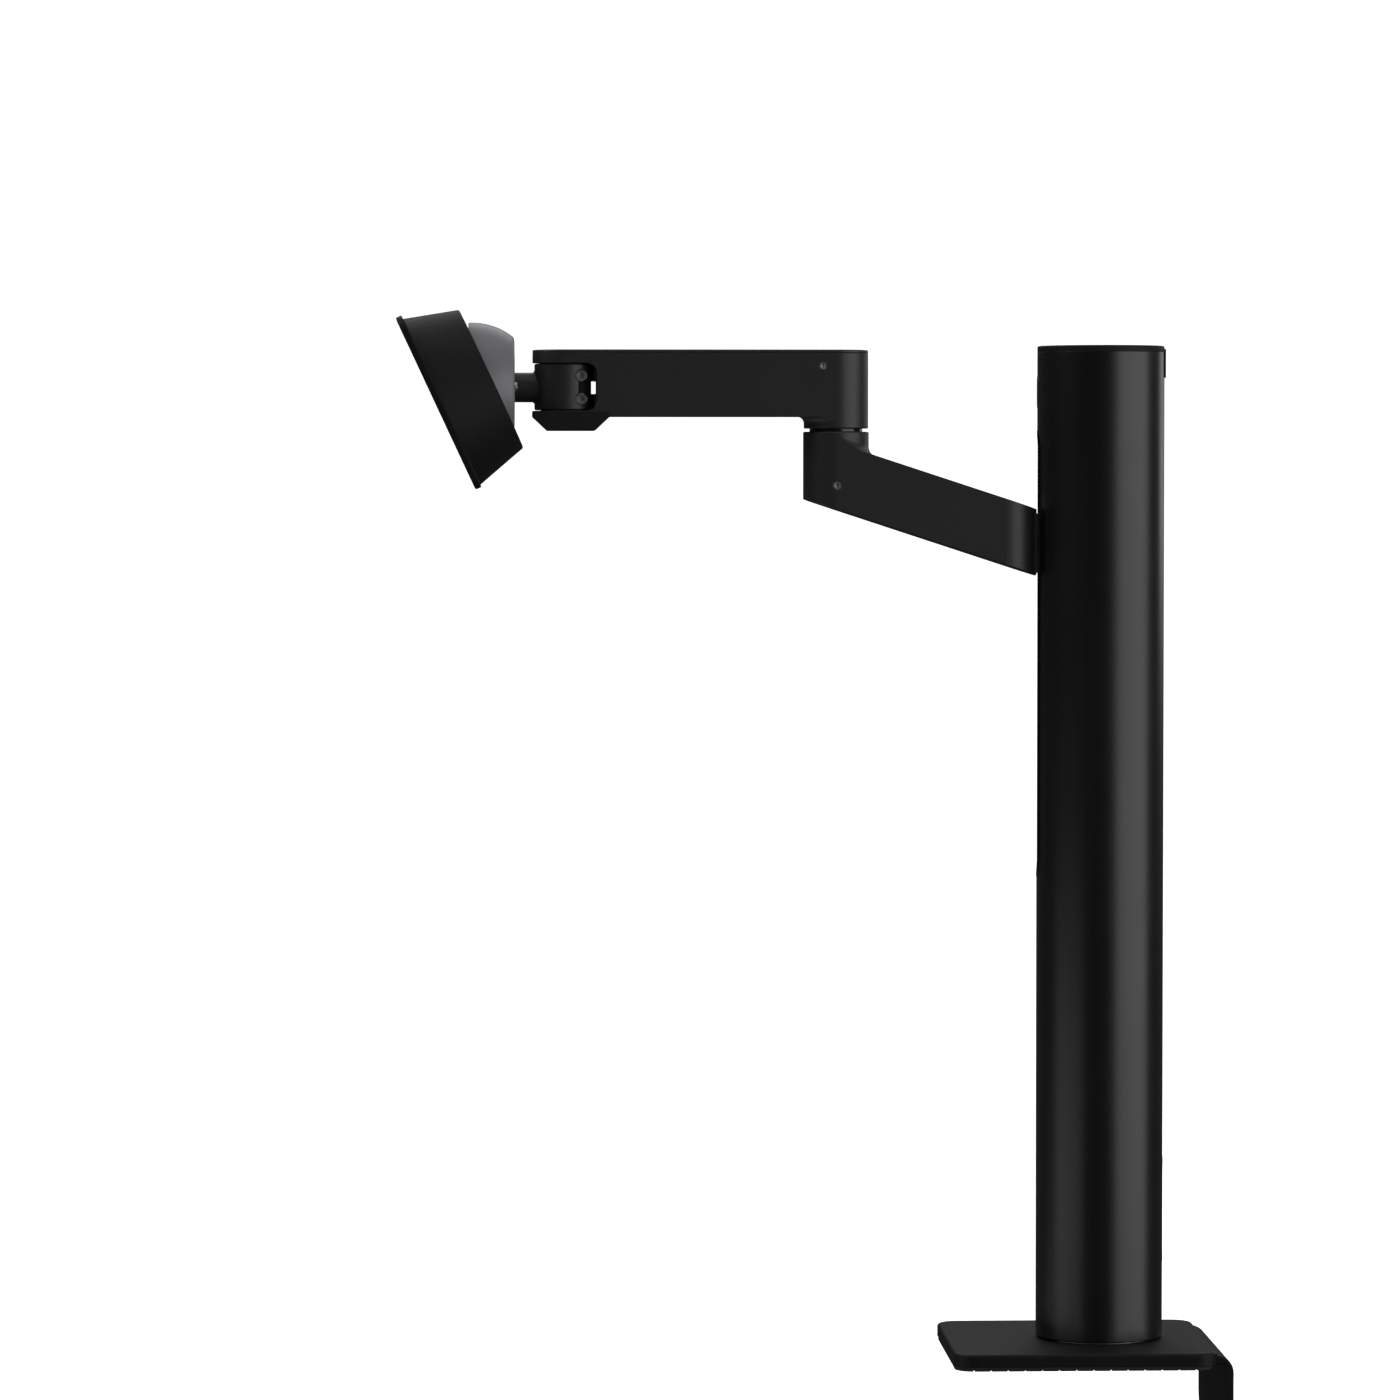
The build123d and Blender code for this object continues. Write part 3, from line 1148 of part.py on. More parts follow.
# ---------------------------------------------------------------- write one STEP per piece
pieces = {
    "base_pad": base_pad,
    "base_cover": base_cover,
    "clamp_bracket": clamp_bracket,
    "thread_bush": thread_bush,
    "pressure_pad": pressure_pad,
    "pressure_plate": pressure_plate,
    "clamp_screw": clamp_screw,
    "clamp_knob": clamp_knob,
    "swivel_post": swivel_post,
    "post_screws": post_screws,
    "thrust_ring": thrust_ring,
    "post_retainer": post_retainer,
    "retainer_screw": retainer_screw,
    "swivel_bushes": swivel_bushes,
    "column_tube": column_tube,
    "top_cap": top_cap,
    "slot_trim": slot_trim,
    "front_plug": front_plug,
    "exit_grommet": exit_grommet,
    "guide_rods": guide_rods,
    **crossmembers,
    "gas_anchor": gas_anchor,
    "rear_screws": rear_screws,
    "gas_cylinder": gas_cylinder,
    "rod_gland": rod_gland,
    "gas_rod": gas_rod,
    "stop_bumpers": stop_bumpers,
    "carriage_block": carriage_block,
    "slide_bushes": slide_bushes,
    "cheek_bolts": cheek_bolts,
    "lower_arm": lower_arm,
    "lower_arm_cover": lower_arm_cover,
    "cover_screws": cover_screws,
    "elbow_pin": elbow_pin,
    "elbow_set_screws": elbow_set_screws,
    "elbow_washer": elbow_washer,
    "upper_arm": upper_arm,
    "upper_arm_cover": upper_arm_cover,
    "upper_set_screws": upper_set_screws,
    "elbow_bush": elbow_bush,
    "disc_springs": disc_springs,
    "elbow_nut": elbow_nut,
    "swivel_pin": swivel_pin,
    "swivel_washers": swivel_washers,
    "cable_holder": cable_holder,
    "swivel_knuckle": swivel_knuckle,
    "knuckle_screws": knuckle_screws,
    "head_dome": head_dome,
    "tilt_bracket": tilt_bracket,
    "pivot_stop_pin": pivot_stop_pin,
    "tilt_bolt": tilt_bolt,
    "tilt_washers": tilt_washers,
    "tilt_nut": tilt_nut,
    "friction_disc": friction_disc,
    "mount_plate": mount_plate,
    "pivot_axle": pivot_axle,
    "axle_nut": axle_nut,
    "shroud": shroud,
    "shroud_screws": shroud_screws,
}
os.makedirs("parts", exist_ok=True)
for name, piece in pieces.items():
    piece.part.label = name
    export_step(piece.part, f"parts/{name}.step")
print(len(pieces), "pieces written")
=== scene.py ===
"""Finishes, detailed hardware and studio for a desk-clamped monitor arm.

The pieces and joints come from the arm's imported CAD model.
"""

import json
from math import pi, radians

import bmesh
import bpy
from bpy.props import (
    FloatProperty,
    FloatVectorProperty,
    IntProperty,
    PointerProperty,
)
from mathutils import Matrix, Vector

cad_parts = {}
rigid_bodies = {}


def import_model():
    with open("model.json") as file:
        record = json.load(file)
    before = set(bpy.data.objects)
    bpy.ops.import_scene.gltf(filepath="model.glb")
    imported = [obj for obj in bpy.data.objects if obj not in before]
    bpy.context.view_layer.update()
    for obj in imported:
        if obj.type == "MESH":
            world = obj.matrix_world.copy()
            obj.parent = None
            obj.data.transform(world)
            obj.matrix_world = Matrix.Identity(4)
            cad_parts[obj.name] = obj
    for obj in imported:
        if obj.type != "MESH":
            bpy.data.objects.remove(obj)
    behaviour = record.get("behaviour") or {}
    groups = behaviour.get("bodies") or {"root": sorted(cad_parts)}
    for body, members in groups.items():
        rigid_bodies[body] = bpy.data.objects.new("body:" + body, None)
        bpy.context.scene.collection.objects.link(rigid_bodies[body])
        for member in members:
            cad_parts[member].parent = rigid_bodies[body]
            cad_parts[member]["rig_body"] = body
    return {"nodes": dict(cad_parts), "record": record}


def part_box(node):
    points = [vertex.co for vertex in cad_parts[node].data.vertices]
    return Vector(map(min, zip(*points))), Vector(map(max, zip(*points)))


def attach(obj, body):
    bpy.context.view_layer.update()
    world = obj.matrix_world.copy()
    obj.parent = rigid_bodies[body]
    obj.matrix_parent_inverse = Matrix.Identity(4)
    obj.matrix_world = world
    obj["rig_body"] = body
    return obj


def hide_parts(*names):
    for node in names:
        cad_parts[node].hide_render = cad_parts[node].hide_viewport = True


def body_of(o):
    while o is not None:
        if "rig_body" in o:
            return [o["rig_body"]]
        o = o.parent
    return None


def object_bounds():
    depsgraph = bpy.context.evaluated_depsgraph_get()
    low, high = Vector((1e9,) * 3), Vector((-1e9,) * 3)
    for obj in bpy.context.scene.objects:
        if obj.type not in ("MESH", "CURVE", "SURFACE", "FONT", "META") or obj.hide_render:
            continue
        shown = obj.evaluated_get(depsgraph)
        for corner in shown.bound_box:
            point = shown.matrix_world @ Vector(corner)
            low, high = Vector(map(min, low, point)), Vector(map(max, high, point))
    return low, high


bl_info = {
    "name": "Monitor arm",
    "version": (1, 0, 0),
    "blender": (4, 5, 0),
    "location": "3D View > Sidebar > Monitor Arm",
    "description": "Clamp hardware, finishes and studio for a desk-clamped monitor arm",
    "category": "Object",
}

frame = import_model()
cad_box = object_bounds()
MM = 0.001
WHITE = (1, 1, 1, 1)


# ---------------------------------------------------------------- sizes, colours and light to change
def colour(name, description, value):
    """A colour setting."""
    return FloatVectorProperty(
        name=name,
        description=description,
        subtype="COLOR",
        size=4,
        min=0,
        max=1,
        default=(*value, 1),
    )


def length(name, description, value, low=0.0):
    """A length setting, given in millimetres and kept in metres."""
    return FloatProperty(
        name=name,
        description=description,
        unit="LENGTH",
        precision=5,
        min=low * MM,
        default=value * MM,
    )


def share(name, description, value):
    """A setting from 0 to 1."""
    return FloatProperty(
        name=name,
        description=description,
        subtype="FACTOR",
        min=0,
        max=1,
        default=value,
    )


def brightness(name, description, value):
    """A light's brightness, where 1 is that of white paper."""
    return FloatProperty(name=name, description=description, min=0, default=value)


class ArmFinishes(bpy.types.PropertyGroup):
    """Colours and surface of the arm's paints, plastics and metals."""

    arm_black: colour("Arm paint", "Satin paint of both links and the knuckle", (0.0165, 0.016, 0.019))
    column_black: colour("Column paint", "Satin paint of the column", (0.004, 0.004, 0.0045))
    sheet_black: colour("Sheet steel paint", "Powder coat of the base and clamp", (0.0065, 0.0062, 0.0075))
    dome_grey: colour("Dome paint", "Paint of the ball-shaped head cover", (0.188, 0.183, 0.202))
    moulded_black: colour("Moulded plastic", "Cap, shroud, knob and cable holder", (0.0075, 0.0073, 0.009))
    rubber_black: colour("Rubber", "Desk pad and clamp pad", (0.022, 0.022, 0.023))
    acetal: colour("Bearing plastic", "Bushes and thrust rings", (0.62, 0.6, 0.54))
    zinc_light: colour("Zinc plating", "Screws, nuts and the clamp screw", (0.6, 0.6, 0.59))
    zinc_dark: colour("Zinc clouds", "Darker clouds in the plating", (0.46, 0.47, 0.5))
    cast_metal: colour("Cast metal", "Unpainted die castings", (0.52, 0.53, 0.54))
    rod_light: colour("Ground steel", "Guide rods, pins and the gas rod", (0.74, 0.74, 0.75))
    rod_dark: colour("Ground steel clouds", "Darker clouds in the ground steel", (0.66, 0.67, 0.69))
    spring_light: colour("Spring steel", "Coned washers", (0.4, 0.38, 0.36))
    spring_dark: colour("Spring steel clouds", "Darker clouds in the spring steel", (0.25, 0.24, 0.27))
    worn_edge: colour("Worn edge", "What shows where paint has rubbed thin", (0.07, 0.07, 0.072))
    dust: colour("Dust", "Fine dust on upward faces", (0.2, 0.195, 0.185))
    edge_radius: length("Edge radius", "Rounding seen on every edge", 0.35, 0.01)
    wear: share("Edge wear", "How far the paint is rubbed at edges", 0.35)
    dustiness: share("Dustiness", "How much dust lies on upward faces", 0.03)


class ClampHardware(bpy.types.PropertyGroup):
    """Sizes of the clamp's thread, its pads and the spring washers."""

    thread_pitch: length("Thread pitch", "Rise of the clamp screw in one turn", 3.0, 0.5)
    thread_depth: length("Thread depth", "Crest to root of the clamp thread", 1.6, 0.1)
    desk_pad_corner: length("Desk pad corners", "Corner radius of the pad under the base", 9.0, 1.0)
    desk_groove_pitch: length("Desk pad grooves", "Distance between grooves under the base", 8.0, 2.0)
    desk_groove_depth: length("Groove depth", "Depth of the grooves under the base", 0.8, 0.1)
    pad_ring_pitch: length("Clamp pad rings", "Distance between the clamp pad's rings", 4.0, 2.0)
    pad_ring_width: length("Ring half width", "From the middle of a ring to its edge", 0.8, 0.1)
    pad_ring_depth: length("Ring depth", "Depth of the clamp pad's rings", 0.9, 0.1)
    washer_sheet: length("Spring washer sheet", "Thickness of the elbow's coned washers", 0.7, 0.1)
    washer_gap: length("Spring washer gap", "Gap between a pair's inner rims", 0.1)
    steps: IntProperty(
        name="Steps",
        description="Steps round each turned piece",
        min=12,
        max=128,
        default=48,
    )


class StudioSetup(bpy.types.PropertyGroup):
    """Floor, backdrop, lights and camera."""

    camera_place: FloatVectorProperty(
        name="Camera",
        description="Where the camera stands",
        subtype="XYZ",
        unit="LENGTH",
        default=(-0.308, -2.9002, 0.4204),
    )
    camera_aim: FloatVectorProperty(
        name="Aim",
        description="Direction in which the camera looks",
        subtype="DIRECTION",
        default=(0.04084, 1.0, -0.03773),
    )
    camera_lens: FloatProperty(
        name="Lens",
        description="Focal length on a 36 mm sensor",
        subtype="DISTANCE_CAMERA",
        default=158.2,
    )
    floor_gap: length("Floor gap", "Room under the clamp knob for the screw's travel", 40.0)
    backdrop_back: length("Backdrop", "How far behind the arm the backdrop rises", 6500.0, 500.0)
    bounce_light: brightness("Bounce light", "Card low in front of the head", 0.45)
    key_light: brightness("Key light", "Large soft box on the right", 2.0)
    low_light: brightness("Low light", "Low box on the left", 0.7)
    side_light: brightness("Side light", "High box on the left", 2.0)
    top_light: brightness("Top light", "Box overhead", 0.6)
    back_light: brightness("Back light", "High box behind the arm", 1.4)
    rim_light: brightness("Rim light", "Box behind on the right", 1.0)
    room_light: brightness("Room", "Even light from all round", 0.05)
    ceiling_light: brightness("Ceiling", "Light from straight above", 0.25)
    paper_glow: brightness("Paper glow", "Light given out by the floor and backdrop", 1.0)


# ---------------------------------------------------------------- modelling helpers
def finish_piece(piece, body, slot, stands_for, sharp=30):
    """Cleans and shades a new piece and seats it on its body in place of its CAD node."""
    start_object_mode()
    piece.select_set(True)
    bpy.context.view_layer.objects.active = piece
    bpy.ops.object.transform_apply(location=True, rotation=True, scale=True)
    bpy.ops.object.mode_set(mode="EDIT")
    bpy.ops.mesh.select_all(action="SELECT")
    bpy.ops.mesh.remove_doubles(threshold=0.002 * MM)
    bpy.ops.mesh.normals_make_consistent(inside=False)
    bpy.ops.object.mode_set(mode="OBJECT")
    bpy.ops.object.shade_smooth_by_angle(angle=radians(sharp))
    piece.data.materials.clear()
    piece.data.materials.append(bpy.data.materials[slot])
    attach(piece, body)
    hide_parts(stands_for)


def start_object_mode():
    """Leaves edit mode and selects nothing."""
    if bpy.context.mode != "OBJECT":
        bpy.ops.object.mode_set(mode="OBJECT")
    bpy.ops.object.select_all(action="DESELECT")


def draw_line(name, points):
    """Draws a line of edges through points, one extrude at a time."""
    start_object_mode()
    bpy.ops.mesh.primitive_plane_add(size=MM, location=points[0])
    piece = bpy.context.active_object
    piece.name = piece.data.name = name
    bpy.ops.object.transform_apply(location=True, rotation=True, scale=True)
    bpy.ops.object.mode_set(mode="EDIT")
    bpy.ops.mesh.select_all(action="SELECT")
    bpy.ops.mesh.merge(type="CENTER")
    for here, there in zip(points, points[1:]):
        step = Vector(there) - Vector(here)
        bpy.ops.mesh.extrude_region_move(TRANSFORM_OT_translate={"value": step})
    return piece


def turn(name, profile, centre, axis, steps):
    """Turns a profile into a solid of revolution. It is left in object mode."""
    piece = draw_line(name, profile)
    bpy.ops.mesh.select_all(action="SELECT")
    bpy.ops.mesh.spin(steps=steps, angle=2 * pi, center=centre, axis=axis)
    bpy.ops.object.mode_set(mode="OBJECT")
    return piece


def apply_modifier(piece, kind, **settings):
    """Adds a modifier to a piece and applies it."""
    start_object_mode()
    piece.select_set(True)
    bpy.context.view_layer.objects.active = piece
    made = piece.modifiers.new(kind.title(), kind)
    for key, value in settings.items():
        setattr(made, key, value)
    bpy.ops.object.modifier_apply(modifier=made.name)


def join_pieces(name, pieces):
    """Joins several pieces into one mesh."""
    start_object_mode()
    for piece in pieces:
        piece.select_set(True)
    bpy.context.view_layer.objects.active = pieces[0]
    bpy.ops.object.join()
    pieces[0].name = pieces[0].data.name = name
    return pieces[0]


# ---------------------------------------------------------------- shader helpers
def place(tree, kind, sockets=(), **settings):
    """Adds a node, sets it up, and gives its sockets values or links."""
    made = tree.nodes.new("ShaderNode" + kind)
    for key, value in settings.items():
        setattr(made, key, value)
    for socket, value in dict(sockets).items():
        if isinstance(value, bpy.types.NodeSocket):
            tree.links.new(value, made.inputs[socket])
        else:
            made.inputs[socket].default_value = value
    return made


def calculate(tree, operation, *values, clamp=False):
    """The result of a Math node."""
    made = place(tree, "Math", enumerate(values), operation=operation, use_clamp=clamp)
    return made.outputs[0]


def ramp(tree, value, low, high, to_low=0.0, to_high=1.0):
    """A value rescaled smoothly from low..high to to_low..to_high."""
    sockets = {0: value, 1: low, 2: high, 3: to_low, 4: to_high}
    return place(tree, "MapRange", sockets, interpolation_type="SMOOTHSTEP").outputs[0]


def mix(tree, factor, first, second):
    """A mix of two colours."""
    sockets = {0: factor, 6: first, 7: second}
    return place(tree, "Mix", sockets, data_type="RGBA").outputs[2]


def noise(tree, coordinates, scale, detail=2.0, roughness=0.5, distortion=0.0):
    """A noise between 0 and 1."""
    sockets = {
        "Vector": coordinates,
        "Scale": scale,
        "Detail": detail,
        "Roughness": roughness,
        "Distortion": distortion,
    }
    return place(tree, "TexNoise", sockets).outputs[0]


def shader_group(name, inputs, outputs):
    """A shader node group with named sockets: its tree, its inputs and its outputs."""
    tree = bpy.data.node_groups.new(name, "ShaderNodeTree")
    for label, kind, value in inputs:
        socket = tree.interface.new_socket(label, in_out="INPUT", socket_type="NodeSocket" + kind)
        socket.default_value = value
    for label, kind in outputs:
        tree.interface.new_socket(label, in_out="OUTPUT", socket_type="NodeSocket" + kind)
    given = tree.nodes.new("NodeGroupInput").outputs
    made = tree.nodes.new("NodeGroupOutput").inputs
    return tree, given, made


def object_space(tree):
    """A piece's own coordinates."""
    return place(tree, "TexCoord").outputs["Object"]


# ---------------------------------------------------------------- shared node groups
GREY = (0.5, 0.5, 0.5, 1.0)


def edge_wear_group():
    """Rounded edges, and where paint on them is rubbed thin."""
    tree, given, made = shader_group(
        "Edge Wear",
        (
            ("Color", "Color", GREY),
            ("Worn Color", "Color", GREY),
            ("Radius", "Float", 0.0004),
            ("Amount", "Float", 0.3),
            ("Patch Scale", "Float", 90.0),
        ),
        (("Color", "Color"), ("Normal", "Vector")),
    )
    turned_range, patch_range = (0.01, 0.16), (0.42, 0.62)
    rounded = place(tree, "Bevel", {"Radius": given["Radius"]}, samples=6).outputs[0]
    plain = place(tree, "NewGeometry").outputs["Normal"]
    both = {0: rounded, 1: plain}
    facing = place(tree, "VectorMath", both, operation="DOT_PRODUCT").outputs["Value"]
    edge = ramp(tree, calculate(tree, "SUBTRACT", 1.0, facing), *turned_range)
    spots = noise(tree, object_space(tree), given["Patch Scale"], detail=4.0, roughness=0.65)
    rubbed = calculate(tree, "MULTIPLY", edge, ramp(tree, spots, *patch_range))
    mask = calculate(tree, "MULTIPLY", rubbed, given["Amount"], clamp=True)
    tree.links.new(mix(tree, mask, given["Color"], given["Worn Color"]), made["Color"])
    tree.links.new(rounded, made["Normal"])


def surface_grain_group():
    """The fine grain of a paint or a moulded surface, and how its gloss drifts."""
    tree, given, made = shader_group(
        "Surface Grain",
        (
            ("Grain Scale", "Float", 1800.0),
            ("Drift Scale", "Float", 16.0),
            ("Roughness", "Float", 0.4),
            ("Spread", "Float", 0.08),
        ),
        (("Roughness", "Float"), ("Height", "Float"), ("Drift", "Float")),
    )
    coarse_scale, coarse_share, fine_sway = 0.31, 0.45, 0.4
    where = object_space(tree)
    fine = noise(tree, where, given["Grain Scale"], detail=2.0, roughness=0.55)
    wide = calculate(tree, "MULTIPLY", given["Grain Scale"], coarse_scale)
    coarse = noise(tree, where, wide, detail=1.0)
    drift = noise(tree, where, given["Drift Scale"], detail=4.0, roughness=0.6, distortion=0.8)
    fine_part = calculate(tree, "MULTIPLY", fine, 1 - coarse_share)
    height = calculate(tree, "MULTIPLY_ADD", coarse, coarse_share, fine_part)
    fine_off, drift_off = (calculate(tree, "SUBTRACT", value, 0.5) for value in (fine, drift))
    sway = calculate(tree, "MULTIPLY_ADD", fine_off, fine_sway, drift_off)
    rough = calculate(tree, "MULTIPLY_ADD", sway, given["Spread"], given["Roughness"], clamp=True)
    tree.links.new(rough, made["Roughness"])
    tree.links.new(height, made["Height"])
    tree.links.new(drift, made["Drift"])


def dust_group():
    """Fine dust on faces that look up."""
    tree, given, made = shader_group(
        "Settled Dust",
        (
            ("Color", "Color", GREY),
            ("Dust Color", "Color", GREY),
            ("Amount", "Float", 0.05),
            ("Roughness", "Float", 0.4),
        ),
        (("Color", "Color"), ("Roughness", "Float")),
    )
    patch_scale, speck_scale, added_roughness = 45.0, 1400.0, 0.5
    speck_range, upward_range = (0.5, 0.75), (0.35, 1.0)
    coordinates = place(tree, "TexCoord").outputs
    up = place(tree, "SeparateXYZ", {0: coordinates["Normal"]}).outputs[2]
    patches = noise(tree, coordinates["Object"], patch_scale, detail=5.0, roughness=0.7)
    specks = ramp(tree, noise(tree, coordinates["Object"], speck_scale), *speck_range)
    settled = calculate(tree, "ADD", patches, specks)
    lying = calculate(tree, "MULTIPLY", ramp(tree, up, *upward_range), settled)
    cover = calculate(tree, "MULTIPLY", lying, given["Amount"], clamp=True)
    tree.links.new(mix(tree, cover, given["Color"], given["Dust Color"]), made["Color"])
    rough = calculate(tree, "MULTIPLY_ADD", cover, added_roughness, given["Roughness"], clamp=True)
    tree.links.new(rough, made["Roughness"])


def tool_lines_group():
    """Fine lines left by drawing, grinding or turning. Stretch sets their run."""
    tree, given, made = shader_group(
        "Tool Lines",
        (
            ("Stretch", "Vector", (900.0, 900.0, 6.0)),
            ("Roughness", "Float", 0.3),
            ("Spread", "Float", 0.1),
        ),
        (("Roughness", "Float"), ("Height", "Float")),
    )
    both = {0: object_space(tree), 1: given["Stretch"]}
    where = place(tree, "VectorMath", both, operation="MULTIPLY").outputs[0]
    lines = noise(tree, where, 1.0, detail=4.0, roughness=0.7)
    sway = calculate(tree, "SUBTRACT", lines, 0.5)
    rough = calculate(tree, "MULTIPLY_ADD", sway, given["Spread"], given["Roughness"], clamp=True)
    tree.links.new(rough, made["Roughness"])
    tree.links.new(lines, made["Height"])


def clouds_group():
    """Two tones that drift into each other, as plating and cast metal do."""
    tree, given, made = shader_group(
        "Clouds",
        (
            ("Color", "Color", GREY),
            ("Second Color", "Color", GREY),
            ("Cloud Scale", "Float", 120.0),
        ),
        (("Color", "Color"), ("Mask", "Float")),
    )
    cloud_range, cells_per_cloud, cell_share = (0.35, 0.7), 9.0, 0.25
    where = object_space(tree)
    curdled = noise(tree, where, given["Cloud Scale"], detail=5.0, roughness=0.6, distortion=1.2)
    clouds = ramp(tree, curdled, *cloud_range)
    cell_scale = calculate(tree, "MULTIPLY", given["Cloud Scale"], cells_per_cloud)
    cells = place(tree, "TexVoronoi", {"Vector": where, "Scale": cell_scale})
    mask = calculate(tree, "MULTIPLY_ADD", cells.outputs["Distance"], cell_share, clouds, clamp=True)
    tree.links.new(mix(tree, mask, given["Color"], given["Second Color"]), made["Color"])
    tree.links.new(mask, made["Mask"])


def group_node(tree, name, sockets):
    """Places a shared group in a material with its own values."""
    return place(tree, "Group", sockets, node_tree=bpy.data.node_groups[name]).outputs


# ---------------------------------------------------------------- finishes, one per material slot
def new_finish(slot):
    """An empty material with its shader, ready for nodes."""
    made = bpy.data.materials.get(slot) or bpy.data.materials.new(slot)
    made.name = slot
    made.use_nodes = True
    made.node_tree.nodes.clear()
    shader = place(made.node_tree, "BsdfPrincipled")
    place(made.node_tree, "OutputMaterial", {"Surface": shader.outputs[0]})
    return made.node_tree, shader


def feed(
    tree,
    shader,
    colour_from,
    rough,
    height,
    normal,
    depth,
    metallic=0.0,
    **constants,
):
    """Links a finish's colour, gloss and relief to its shader and sets the shader's constants.

    Depth is the relief's height in millimetres.
    """
    relief = {"Distance": depth * MM, "Strength": 1.0, "Height": height, "Normal": normal}
    bump = place(tree, "Bump", relief)
    tree.links.new(colour_from, shader.inputs["Base Color"])
    tree.links.new(rough, shader.inputs["Roughness"])
    tree.links.new(bump.outputs[0], shader.inputs["Normal"])
    shader.inputs["Metallic"].default_value = metallic
    for key, value in constants.items():
        socket = key.replace("_", " ").title().replace("Ior", "IOR")
        shader.inputs[socket].default_value = value


def lighter(base, times, lift=0.0):
    """A colour made lighter."""
    return [min(1, channel * times + lift) for channel in base[:3]] + [1]


def grain_of(tree, grain, roughness, spread, drift=16.0):
    """The fine grain, its gloss and its drift."""
    sockets = {"Grain Scale": grain, "Drift Scale": drift, "Roughness": roughness, "Spread": spread}
    return group_node(tree, "Surface Grain", sockets)


def worn_edges(tree, toned, worn, amount):
    """Rounded edges, rubbed to another colour."""
    radius = bpy.context.scene.arm_finishes.edge_radius
    sockets = {"Color": toned, "Worn Color": worn, "Radius": radius, "Amount": amount}
    return group_node(tree, "Edge Wear", sockets)


def settled_dust(tree, clean, rough, dusty=1.0):
    """A colour and a gloss under a little dust."""
    finishes = bpy.context.scene.arm_finishes
    amount = finishes.dustiness * dusty
    sockets = {"Color": clean, "Dust Color": finishes.dust, "Amount": amount, "Roughness": rough}
    return group_node(tree, "Settled Dust", sockets)


def paint(
    slot,
    base,
    roughness,
    grain,
    depth,
    wear=1.0,
    lines=None,
    **constants,
):
    """A satin paint or powder coat on metal, rubbed thin at its edges."""
    finishes = bpy.context.scene.arm_finishes
    tree, shader = new_finish(slot)
    grained = grain_of(tree, grain, roughness, spread=0.08)
    height, rough = grained["Height"], grained["Roughness"]
    if lines:
        line_height = 0.5
        drawn = group_node(tree, "Tool Lines", {"Stretch": lines, "Roughness": rough, "Spread": 0.05})
        height = calculate(tree, "MULTIPLY_ADD", drawn["Height"], line_height, height)
        rough = drawn["Roughness"]
    drift_range, most_faded = (0.3, 0.7), 0.3
    faded = ramp(tree, grained["Drift"], *drift_range, to_high=most_faded)
    toned = mix(tree, faded, base, lighter(base, 1.35))
    edges = worn_edges(tree, toned, finishes.worn_edge, finishes.wear * wear)
    dusted = settled_dust(tree, edges["Color"], rough)
    feed(tree, shader, dusted["Color"], dusted["Roughness"], height, edges["Normal"], depth, **constants)


def moulding(
    slot,
    base,
    roughness,
    grain,
    depth,
    spread=0.06,
    dusty=1.0,
    **constants,
):
    """A moulded plastic or rubber with the spark-eroded grain of its mould."""
    tree, shader = new_finish(slot)
    grained = grain_of(tree, grain, roughness, spread, drift=22.0)
    height = grained["Height"]
    peak_range = (0.35, 0.7)
    toned = mix(tree, ramp(tree, height, *peak_range), base, lighter(base, 1.3))
    edges = worn_edges(tree, toned, lighter(base, 1.6, lift=0.004), amount=0.5)
    dusted = settled_dust(tree, edges["Color"], grained["Roughness"], dusty)
    feed(tree, shader, dusted["Color"], dusted["Roughness"], height, edges["Normal"], depth, **constants)


def bare_metal(slot, light, dark, roughness, stretch, depth=0.004, spread=0.12):
    """A bare, plated or ground metal with its tool lines and clouds."""
    tree, shader = new_finish(slot)
    tones = {"Color": light, "Second Color": dark, "Cloud Scale": 140.0}
    cloudy = group_node(tree, "Clouds", tones)
    rough = ramp(tree, cloudy["Mask"], 0.0, 1.0, roughness, roughness + spread)
    marks = {"Stretch": stretch, "Roughness": rough, "Spread": spread}
    lined = group_node(tree, "Tool Lines", marks)
    edges = worn_edges(tree, cloudy["Color"], lighter(light, 1.2), amount=0.6)
    normal, rough, height = edges["Normal"], lined["Roughness"], lined["Height"]
    feed(tree, shader, edges["Color"], rough, height, normal, depth, metallic=1.0)


